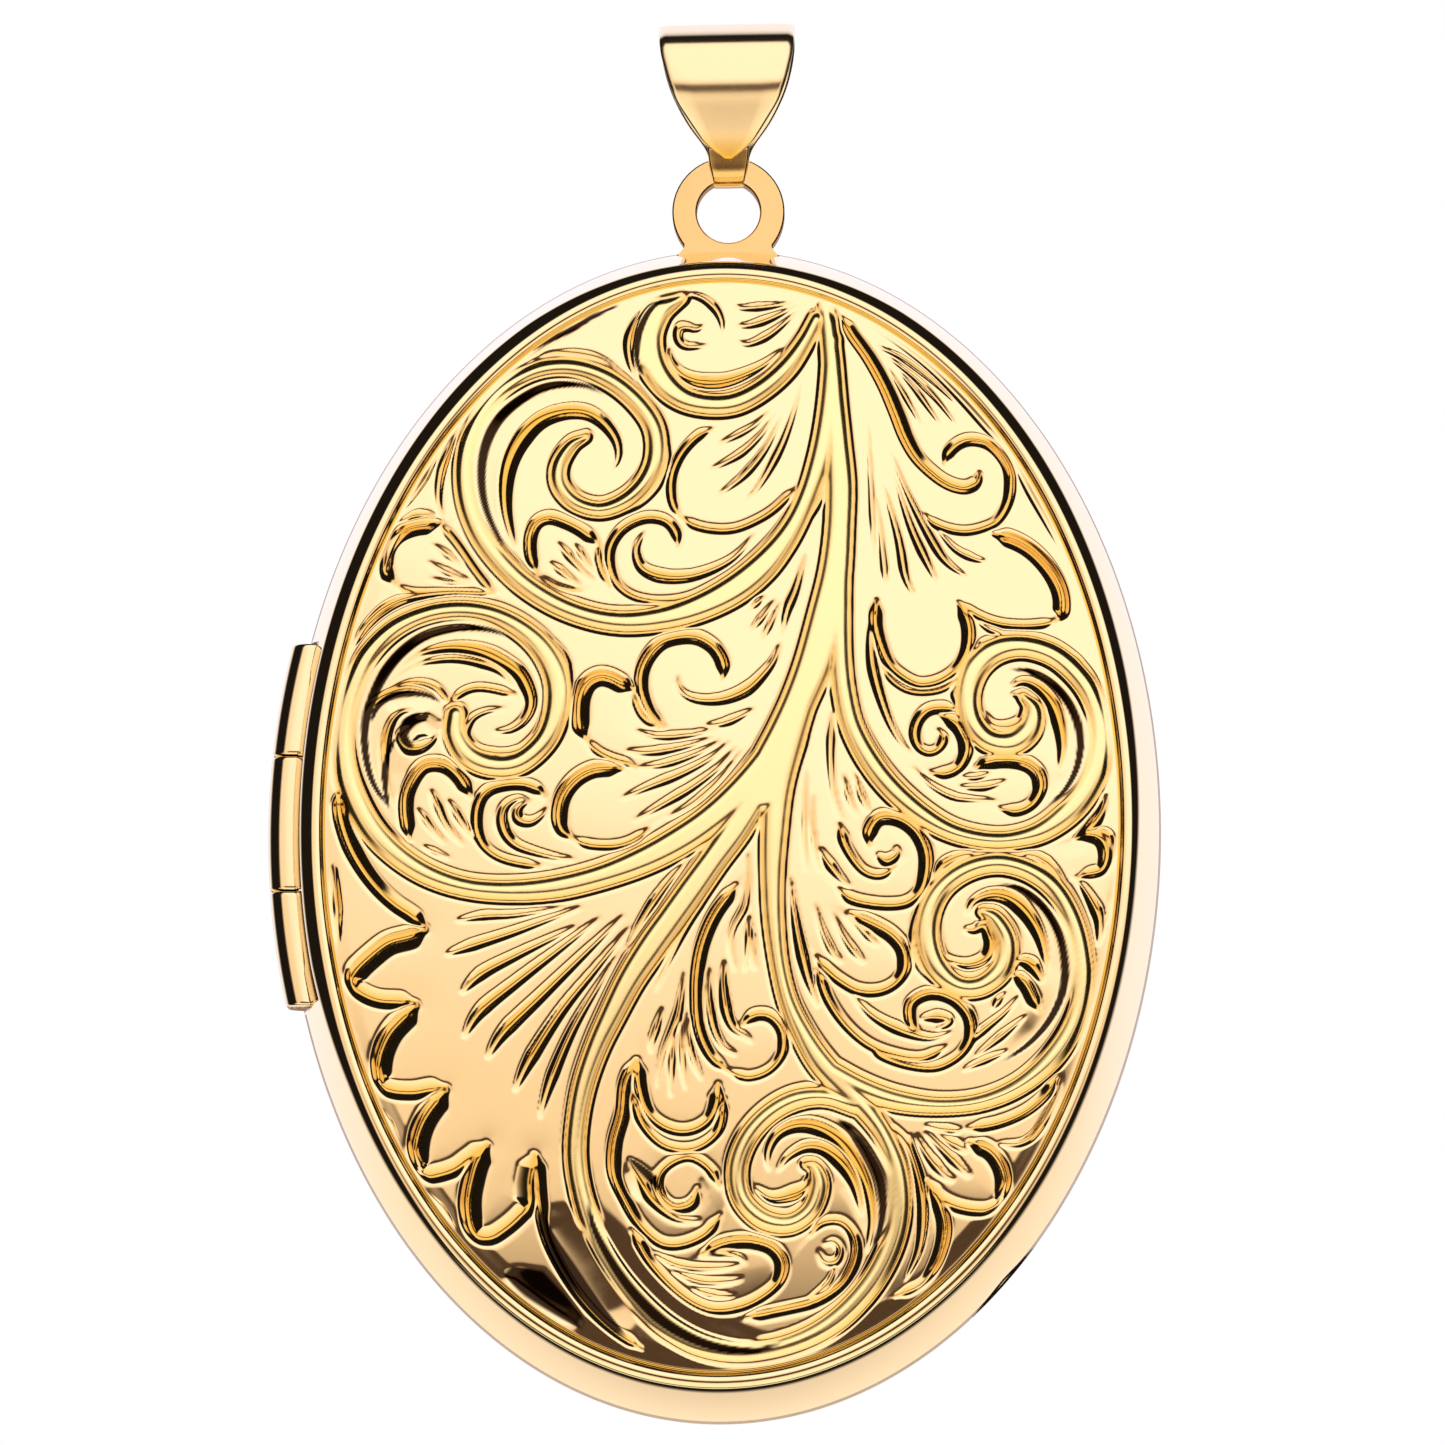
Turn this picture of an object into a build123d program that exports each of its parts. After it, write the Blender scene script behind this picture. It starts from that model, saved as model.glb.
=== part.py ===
from build123d import *
import os
from math import asin, cos, sin

# Oval hinged locket with a bail, built from thin gold sheet. Millimetres, +Z up.
# The decorated front faces -Y and the hinge is on the -X side, so the lid swings open about a line along Z.
# The origin is the centre of the bail's round top, where a chain passes along X, and the case hangs below.
# Everything is drawn about the centre of the case, at the seam between its two halves, and moved at the end.
# A depth is a distance from the seam, towards -Y in the front half and towards +Y in the back half.
# An inset is a distance in from the outline of the case at the seam.

# ---- the case ----
HALF_WIDTH = 15.0
HALF_HEIGHT = 20.26
END_SPREAD = 1.20  # every inset is this much greater at the top and bottom than at the sides
WALL_DEPTH = 2.30  # the rounded side wall, from the seam to the foot of the rim
WALL_INSET = 0.62
WALL_STEPS = 5
RIM = [(0.66, 2.34), (0.84, 2.68), (0.91, 2.76), (1.02, 2.80), (1.15, 2.76), (1.30, 2.58)]  # (inset, depth)
PANEL_INSET = 1.45
PANEL_DEPTH = 2.66
DOME_RISE = 0.55
DOME_SHARES = [0.92, 0.8, 0.65, 0.5, 0.35, 0.2, 0.08]  # sizes of the rings that shape it, against the panel's
BACK_FLAT = [(1.60, 2.84), (1.75, 2.90)]  # the back's flat panel stands just proud of its rim
CAVITY = [(0.40, 1.10), (0.70, 1.65), (0.92, 2.02), (1.22, 2.28)]
CAVITY_DEPTH = 2.30
CAVITY_INSET = 1.58
BACK_CAVITY_DEPTH = 2.54

# ---- the inner rims, the lip that the lid snaps over, and what holds the pictures ----
FLANGE = 0.40  # thickness of the flat mating face round each half
RIM_WALL = 0.40
FRONT_OPENING = 2.00  # insets
BACK_OPENING = 2.05
FRONT_LEDGE = (2.60, 1.45, 1.75)  # inset of the ledge's edge, and the depths it lies between
BACK_LEDGE = (3.00, 1.15, 1.50)
LIP_THICK = 0.30
LIP_BACK, LIP_FRONT = 0.75, -0.45
SLIP = 0.05  # clearance of what drops in or snaps over
CARD = 0.25
WINDOW = 0.20
FRAME_THICK = 0.45
FRAME_WIDTH = 0.95
FRAME_BEVEL = 0.25
BEAD_R = 0.12

# ---- the hinge ----
PIN_X = -14.52
PIN_R = 0.20
TUBE_R = 1.10
TUBE_SWING_GAP = 0.10
PIN_GAP = 0.03
TUBE_PROUD = 0.60  # the tube is filed to the outline of the case, this far outside it
KNUCKLE_GAP = 0.06
TUBE_BOTTOM, TUBE_TOP = -6.28, 6.20
MIDDLE_BOTTOM, MIDDLE_TOP = -2.34, 2.31
NOTCH_ANGLE = -50.0  # degrees from +X towards +Z, where the nail notch is
NOTCH_R = 0.45

# ---- the lug and the bail ----
LUG_Z = 21.58
LUG_R = 1.95
LUG_HOLE_R = 1.10
LUG_THICK = 0.65
LUG_FILLET = 0.15
FOOT_HALF_WIDTH = 1.74
FOOT_TOP = 20.42
LID_CLEARANCE = 0.08
CHAIN_Z = 26.70  # the centre of the bail's round top, above the centre of the case
SWING_Z = LUG_Z + (LUG_R + LUG_HOLE_R) / 2  # the bail swings about the top of the lug
BAIL_TOP_R = 1.53  # inside radii
BAIL_LOOP_R = 0.57
BAIL_SHEET = 0.20
# Half the bail's width at heights above the centre of the case.
BAIL_WIDTHS = [
    (2.34, 28.00), (2.26, 26.99), (2.07, 26.05), (1.75, 25.16),
    (1.08, 24.17), (0.66, 23.45), (0.52, 23.00), (0.44, 22.30),
]

FRONT, BACK = -1, 1


def oval(inset, y):
    """A flat oval at y, as large as the case's outline less an inset."""
    plane = Plane(origin=(0, y, 0), x_dir=(1, 0, 0), z_dir=(0, -1, 0))
    return plane * Ellipse(HALF_WIDTH - inset, HALF_HEIGHT - END_SPREAD * inset)


def shrunk_oval(inset, share, y):
    """That oval shrunk about its centre."""
    plane = Plane(origin=(0, y, 0), x_dir=(1, 0, 0), z_dir=(0, -1, 0))
    return plane * Ellipse((HALF_WIDTH - inset) * share, (HALF_HEIGHT - END_SPREAD * inset) * share)


def slab(inset, y_from, y_to):
    """An oval plate between two values of y."""
    return loft([oval(inset, y_from), oval(inset, y_to)], ruled=True)


def ring(outer, inner, y_from, y_to):
    """A flat oval ring between two insets and two values of y."""
    over = 0.1 if y_to > y_from else -0.1
    return slab(outer, y_from, y_to) - slab(inner, y_from - over, y_to + over)


def wall_sections(side):
    """The rounded side wall: its slope grows away from the seam."""
    depths = [WALL_DEPTH * i / WALL_STEPS for i in range(WALL_STEPS + 1)]
    return [oval(WALL_INSET * (d / WALL_DEPTH) ** 1.6, side * d) for d in depths]


def dome_sections(inset, depth, side):
    """Rings that rise to the middle of the panel as a shallow dome."""
    return [shrunk_oval(inset, s, side * (depth + DOME_RISE * (1 - s * s))) for s in DOME_SHARES]


def case_body(side):
    """The solid form of one half of the case, before it is hollowed."""
    sections = wall_sections(side) + [oval(i, side * d) for i, d in RIM]
    sections.append(oval(PANEL_INSET, side * PANEL_DEPTH))
    if side == FRONT:
        sections += dome_sections(PANEL_INSET, PANEL_DEPTH, side)
    else:
        sections += [oval(i, side * d) for i, d in BACK_FLAT]
    return loft(sections, ruled=True)


def case_cavity(side):
    """What is taken out of that form to leave a shell of about the sheet's thickness."""
    sections = [oval(CAVITY[0][0], -0.1 * side)] + [oval(i, side * d) for i, d in CAVITY]
    if side == FRONT:
        sections.append(oval(CAVITY_INSET, side * CAVITY_DEPTH))
        sections += dome_sections(CAVITY_INSET, CAVITY_DEPTH, side)
    else:
        sections.append(oval(CAVITY_INSET, side * BACK_CAVITY_DEPTH))
    return loft(sections, ruled=True)


def rod(radius, bottom, top):
    """A round bar along the hinge line."""
    return Pos(PIN_X, 0, (bottom + top) / 2) * Cylinder(radius, top - bottom)


def hinge_channel(side):
    """The seat for a half's own knuckles, and a wider one where the other half's knuckles turn."""
    swing_r = TUBE_R + TUBE_SWING_GAP
    if side == FRONT:
        own = rod(TUBE_R, MIDDLE_BOTTOM, MIDDLE_TOP)
        other = [(TUBE_BOTTOM - TUBE_SWING_GAP, MIDDLE_BOTTOM), (MIDDLE_TOP, TUBE_TOP + TUBE_SWING_GAP)]
    else:
        own = rod(TUBE_R, TUBE_BOTTOM, TUBE_TOP)
        other = [(MIDDLE_BOTTOM - KNUCKLE_GAP, MIDDLE_TOP + KNUCKLE_GAP)]
    cut = own
    for bottom, top in other:
        cut = cut + rod(swing_r, bottom, top)
    return cut


def knuckle(bottom, top, bore_r):
    """A length of hinge tube, filed on the outside to follow the case."""
    plane = Plane(origin=(0, -2 * TUBE_R, 0), x_dir=(1, 0, 0), z_dir=(0, -1, 0))
    outline = plane * Ellipse(HALF_WIDTH + TUBE_PROUD, HALF_HEIGHT + TUBE_PROUD)
    filed = extrude(outline, amount=-4 * TUBE_R)
    return (rod(TUBE_R, bottom, top) & filed) - rod(bore_r, bottom - 1, top + 1)


def cover(side):
    """One stamped outer shell."""
    return case_body(side) - case_cavity(side) - hinge_channel(side)


def inner_rim(side):
    """The frame soldered into a shell: a flat mating flange, a wall down inside it, and a ledge."""
    opening = FRONT_OPENING if side == FRONT else BACK_OPENING
    ledge_inset, ledge_top, ledge_floor = FRONT_LEDGE if side == FRONT else BACK_LEDGE
    flange = ring(CAVITY[0][0], opening, 0, side * FLANGE)
    wall = ring(opening - RIM_WALL, opening, side * FLANGE / 2, side * ledge_floor)
    ledge = ring(opening - RIM_WALL / 2, ledge_inset, side * ledge_top, side * ledge_floor)
    return flange + wall + ledge - hinge_channel(side)


def photo_frame(inset, near, far):
    """The loose bevelled ring that presses a picture and its window in place."""
    inner = inset + FRAME_WIDTH
    over = (far - near) / 2
    hole = loft([oval(inner, near - over), oval(inner + FRAME_BEVEL, far + over)], ruled=True)
    return slab(inset, near, far) - hole


def picture_stack(side):
    """The blank card, the clear window and the frame of one half, resting on its ledge."""
    inset = FRONT_OPENING + SLIP if side == FRONT else BACK_OPENING + LIP_THICK + SLIP
    floor = (FRONT_LEDGE if side == FRONT else BACK_LEDGE)[1]
    card_top = floor - CARD
    window_top = card_top - WINDOW
    frame_top = window_top - FRAME_THICK
    return (
        slab(inset, side * floor, side * card_top),
        slab(inset, side * card_top, side * window_top),
        photo_frame(inset, side * frame_top, side * window_top),
    )


def bead_place():
    """The snap bead stands on the lip, opposite the hinge, and points away from it."""
    return Pos(HALF_WIDTH - BACK_OPENING, LIP_FRONT / 2, 0) * Rot(0, 90, 0)


def teardrop(top_r, loop_r):
    """The bail from the side, as a face in the YZ plane: a round top, straight sides and a small loop."""
    rise = CHAIN_Z - SWING_Z
    lean = asin((top_r - loop_r) / rise)
    plane = Plane(origin=(0, 0, 0), x_dir=(0, 1, 0), z_dir=(1, 0, 0))
    y, z = cos(lean), sin(lean)
    right_top = (top_r * y, CHAIN_Z + top_r * -z)
    left_top = (-top_r * y, CHAIN_Z + top_r * -z)
    right_low = (loop_r * y, SWING_Z + loop_r * -z)
    left_low = (-loop_r * y, SWING_Z + loop_r * -z)
    edges = [
        ThreePointArc(left_top, (0, CHAIN_Z + top_r), right_top),
        Line(right_top, right_low),
        ThreePointArc(right_low, (0, SWING_Z - loop_r), left_low),
        Line(left_low, left_top),
    ]
    return plane * make_face(Wire(edges))


def bail():
    """A tapered strap folded through the lug, its ends soldered together."""
    reach = BAIL_WIDTHS[0][0] + 1
    strap = extrude(teardrop(BAIL_TOP_R + BAIL_SHEET, BAIL_LOOP_R + BAIL_SHEET), amount=reach, both=True)
    strap -= extrude(teardrop(BAIL_TOP_R, BAIL_LOOP_R), amount=reach, both=True)
    right = Spline([(x, z) for x, z in BAIL_WIDTHS])
    left = Spline([(-x, z) for x, z in BAIL_WIDTHS])
    top = CHAIN_Z + BAIL_TOP_R + BAIL_SHEET + 0.2
    corner = BAIL_WIDTHS[0]
    crown = ThreePointArc((-corner[0], corner[1]), (0, top), corner)
    foot = Line((-BAIL_WIDTHS[-1][0], BAIL_WIDTHS[-1][1]), BAIL_WIDTHS[-1])
    plane = Plane(origin=(0, 0, 0), x_dir=(1, 0, 0), z_dir=(0, -1, 0))
    outline = plane * make_face(Wire([crown, right, foot, left]))
    return strap & extrude(outline, amount=reach, both=True)


def lug():
    """A flat ring with a small foot, soldered to the top of the back half and clear of the lid."""
    plane = Plane(origin=(0, 0, 0), x_dir=(1, 0, 0), z_dir=(0, -1, 0))
    disc = plane * (Pos(0, LUG_Z) * Circle(LUG_R))
    hole = plane * (Pos(0, LUG_Z) * Circle(LUG_HOLE_R))
    plate = extrude(disc, amount=LUG_THICK / 2, both=True) - extrude(hole, amount=LUG_THICK, both=True)
    plate = fillet(plate.edges().filter_by(GeomType.CIRCLE), LUG_FILLET)
    foot_height = FOOT_TOP - HALF_HEIGHT + 1
    foot = Pos(0, 0, FOOT_TOP - foot_height / 2) * Box(2 * FOOT_HALF_WIDTH, LUG_THICK, foot_height)
    foot = chamfer(foot.edges().filter_by(Axis.Y).group_by(Axis.Z)[-1], 0.12)
    lid_space = loft([oval(-LID_CLEARANCE, 0), oval(-LID_CLEARANCE, -LUG_THICK)], ruled=True)
    return plate + foot - case_body(BACK) - lid_space


def front_cover():
    """The lid's shell, with a small nail notch in the edge that opens."""
    at = Vector(HALF_WIDTH, 0, 0).rotate(Axis.Y, -NOTCH_ANGLE)
    place = Vector(at.X, 0, at.Z * HALF_HEIGHT / HALF_WIDTH)
    notch = Pos(place) * Rot(0, -NOTCH_ANGLE, 0) * scale(Sphere(NOTCH_R), by=(0.35, 0.6, 1.3))
    return cover(FRONT) - notch


def write(name, shape):
    """One STEP file for one node, in the row's frame."""
    export_step(Pos(0, 0, -CHAIN_Z) * shape, f"parts/{name}.step")


def main():
    os.makedirs("parts", exist_ok=True)
    front_card, front_window, front_frame = picture_stack(FRONT)
    back_card, back_window, back_frame = picture_stack(BACK)
    pieces = {
        "front_cover": front_cover(),
        "front_inner_rim": inner_rim(FRONT) - bead_place() * Sphere(BEAD_R + SLIP),
        "front_picture_card": front_card,
        "front_window": front_window,
        "front_photo_frame": front_frame,
        "hinge_knuckle_middle": knuckle(MIDDLE_BOTTOM, MIDDLE_TOP, PIN_R + PIN_GAP),
        "back_cover": cover(BACK),
        "back_inner_rim": inner_rim(BACK),
        "closing_lip": ring(BACK_OPENING, BACK_OPENING + LIP_THICK, LIP_FRONT, LIP_BACK),
        "snap_bead": bead_place() * Sphere(BEAD_R, arc_size1=0, align=Align.NONE),
        "back_picture_card": back_card,
        "back_window": back_window,
        "back_photo_frame": back_frame,
        "hinge_knuckle_top": knuckle(MIDDLE_TOP + KNUCKLE_GAP, TUBE_TOP, PIN_R),
        "hinge_knuckle_bottom": knuckle(TUBE_BOTTOM, MIDDLE_BOTTOM - KNUCKLE_GAP, PIN_R),
        "hinge_pin": rod(PIN_R, TUBE_BOTTOM, TUBE_TOP),
        "lug": lug(),
        "bail": bail(),
    }
    for name, shape in pieces.items():
        write(name, shape)


main()
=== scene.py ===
"""The looks of an oval gold locket: a chased lid, a beaded edge, a plain back and a tapered bail."""

from math import copysign, cos, radians, sin, tau

import bmesh
import bpy
import numpy as np
from mathutils import Matrix, Vector


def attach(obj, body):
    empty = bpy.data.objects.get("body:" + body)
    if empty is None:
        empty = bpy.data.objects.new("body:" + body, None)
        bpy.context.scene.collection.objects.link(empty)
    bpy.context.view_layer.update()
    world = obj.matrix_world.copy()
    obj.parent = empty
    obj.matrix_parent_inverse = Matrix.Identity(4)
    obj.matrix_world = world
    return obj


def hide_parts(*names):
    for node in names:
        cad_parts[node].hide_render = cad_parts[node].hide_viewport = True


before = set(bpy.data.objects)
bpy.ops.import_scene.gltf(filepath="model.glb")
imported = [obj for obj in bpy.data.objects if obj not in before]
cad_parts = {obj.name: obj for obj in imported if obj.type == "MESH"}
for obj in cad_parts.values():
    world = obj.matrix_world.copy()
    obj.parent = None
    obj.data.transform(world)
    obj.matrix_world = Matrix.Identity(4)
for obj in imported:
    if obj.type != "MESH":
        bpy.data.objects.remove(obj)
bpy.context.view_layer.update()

# ---- sizes, in mm, from the middle of the closed case: x across, y to the back, z up ----
MM = 0.001
CASE_Z = -26.70  # the case's middle, below the chain's line
HALF_WIDTH = 15.0
HALF_HEIGHT = 20.26
END_SPREAD = 1.08  # how much more an inset takes off the ends than off the sides
ACROSS, ALONG = 430, 590  # cells of the lid's panel, side to side and end to end
BACK_CELLS = (120, 160)

# the lid's panel: a dome whose last half millimetre dips to the beaded edge
PANEL_INSET = 1.60
PANEL_DEPTH = 2.66
DOME = 0.52
EDGE_DIP = 0.05
EDGE_DIP_WIDTH = 0.5
PLAIN_EDGE = 0.35  # the chasing fades out over this much of the edge
BACK_CROWN = 0.02

# the rim rings of each half: (inset, depth, share of painted reflection, the orange of a cut), from the
# panel to the seam
BEAD_SIDE = (1.10, 2.715)  # (inset, depth) where the front bead's outer flank starts
FLANK_FOOT = (0.62, 2.30)  # and where it meets the wall
WALL_STEPS = 8
WALL_BULGE = 1.1
WALL = [
    (FLANK_FOOT[0] * (k / WALL_STEPS) ** WALL_BULGE, FLANK_FOOT[1] * k / WALL_STEPS, 0.0)
    for k in range(WALL_STEPS, -1, -1)
]
FRONT_RINGS = [
    (PANEL_INSET, PANEL_DEPTH, 0.5), (1.565, 2.61, 1.0), (1.53, 2.585, 1.0), (1.495, 2.60, 1.0),
    (1.46, 2.65, 0.6), (1.43, 2.70, 0.2), (1.38, 2.735, 0.0), (1.30, 2.755, 0.0), (1.20, 2.75, 0.0),
    (*BEAD_SIDE, 0.0), (1.03, 2.665, 0.0), (0.95, 2.60, 0.0), (0.85, 2.505, 0.0), (0.76, 2.415, 0.0),
    (0.70, 2.36, 0.0), (0.66, 2.33, 0.0),
] + WALL
BACK_RINGS = [
    (1.70, 2.90, 0.0), (1.55, 2.88, 0.0), (1.42, 2.80, 0.0), (1.30, 2.68, 0.0), (1.22, 2.62, 0.2),
    (1.14, 2.66, 0.0), (1.02, 2.75, 0.0), (0.90, 2.70, 0.0), (0.80, 2.58, 0.0), (0.70, 2.42, 0.0),
] + WALL
HOLLOW = [(0.42, 0.0, 0.0), (0.42, 1.10, 0.0), (0.70, 1.65, 0.0), (1.22, 2.20, 0.0), (1.6, 2.26, 0.0)]
# the share of the front bead's flank that is missing, by the angle in degrees from the right-hand side
FLANK_LOSS = [
    (-180, 0.3), (-165, 0.3), (-152, 0.65), (-135, 0.82), (-30, 0.84), (-5, 0.75), (15, 0.5), (40, 0.38),
    (65, 0.38), (80, 0.6), (98, 0.6), (107, 0.5), (118, 0.3), (130, 0.25), (180, 0.3),
]
# the nail notch in the lid's wall, at the lower right
NOTCH_X, NOTCH_Z = 9.57, -15.29
NOTCH_R = 0.7
NOTCH_DEPTH = 0.09
NOTCH_FADE = 0.6  # it reaches this far forward of the seam

# the hinge: the pin, three tubes and the channel in the case
PIN_X = -14.52
PIN_PROUD = 0.02  # the pin's ends show, a hair proud of the tubes
TUBE_R = 1.10
TUBE_PROUD = 0.54
TUBE_CORNER = 0.67
TUBE_SQUARENESS = 2 / 2.4
TUBE_SOFT = 0.07
TUBE_ENDS = (-6.28, 6.20)
TUBE_SEAMS = (-2.34, 2.31)
SEAM_GAP = 0.03
CHANNEL_R = 1.27
CHANNEL_END = 0.06
TUBE_BITE = 0.03  # each half reaches this far into its own tubes
SKIN = 0.12  # how much further the hollow keeps from the pin

LUG_Z = 21.58
LUG_R = 1.95
LUG_HOLE_R = 1.10
LUG_THICK = 0.65
LUG_SOFT = 0.05
FOOT_Z = 20.02
FOOT_FLARE = 0.36
FOOT_HALF_WIDTH = 1.80

# the bail's strap from its front tip, over the top, down and through the lug: (y, z, half width, thickness)
BAIL_PATH = [
    (-0.84, 23.27, 0.08, 0.16), (-0.96, 23.6, 0.52, 0.18), (-1.07, 23.9, 0.88, 0.20),
    (-1.20, 24.25, 1.14, 0.20), (-1.37, 24.75, 1.48, 0.20), (-1.52, 25.20, 1.77, 0.20),
    (-1.64, 25.55, 1.92, 0.20), (-1.70, 25.85, 2.02, 0.20), (-1.70, 26.30, 2.14, 0.20),
    (-1.67, 26.90, 2.28, 0.20), (-1.62, 27.28, 2.32, 0.20), (-1.48, 27.52, 2.34, 0.20),
    (-1.15, 27.76, 2.35, 0.20), (-0.6, 28.06, 2.35, 0.20), (0.0, 28.34, 2.35, 0.20),
    (0.55, 28.40, 2.35, 0.20), (1.05, 28.20, 2.35, 0.20), (1.45, 27.80, 2.34, 0.20),
    (1.67, 27.25, 2.26, 0.20), (1.73, 26.60, 2.10, 0.20), (1.69, 25.95, 1.86, 0.20),
    (1.55, 25.10, 1.44, 0.20), (1.25, 24.17, 0.86, 0.18), (0.86, 23.55, 0.68, 0.14),
    (0.64, 23.2, 0.66, 0.12), (0.54, 22.85, 0.58, 0.11), (0.30, 22.58, 0.54, 0.11),
    (0.0, 22.505, 0.52, 0.11), (-0.30, 22.58, 0.54, 0.11), (-0.54, 22.85, 0.58, 0.11),
    (-0.64, 23.2, 0.66, 0.12), (-0.72, 23.5, 0.70, 0.12), (-0.80, 23.8, 0.72, 0.12),
]
# its section: (share of the half width, share of the thickness outward from the path)
BAIL_SECTION = [
    (-1, -0.45), (-0.985, -0.30), (-0.93, -0.06), (-0.90, 0.0), (-0.6, 0.02), (-0.2, 0.04), (0.2, 0.04),
    (0.6, 0.02), (0.90, 0.0), (0.93, -0.06), (0.985, -0.30), (1, -0.45), (1, -0.85), (0.95, -1.0),
    (-0.95, -1.0), (-1, -0.85),
]
BAIL_SWAY = radians(-1.3)  # it hangs a little crooked in the lug
SWING_Z = 23.105

# how deep the chasing goes, in mm
OUTLINE_DEPTH = 0.26
CUT_DEPTH = 0.20
STEP_DEPTH = 0.10
STEM_EDGE_DEPTH = 0.12
STEM_RISE = 0.01
STEM_SOFT = 0.06  # a stem's satin fades in over this much of its edge
LEAF_SWELL = 0.012  # a leaf's rise beside its outline

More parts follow.
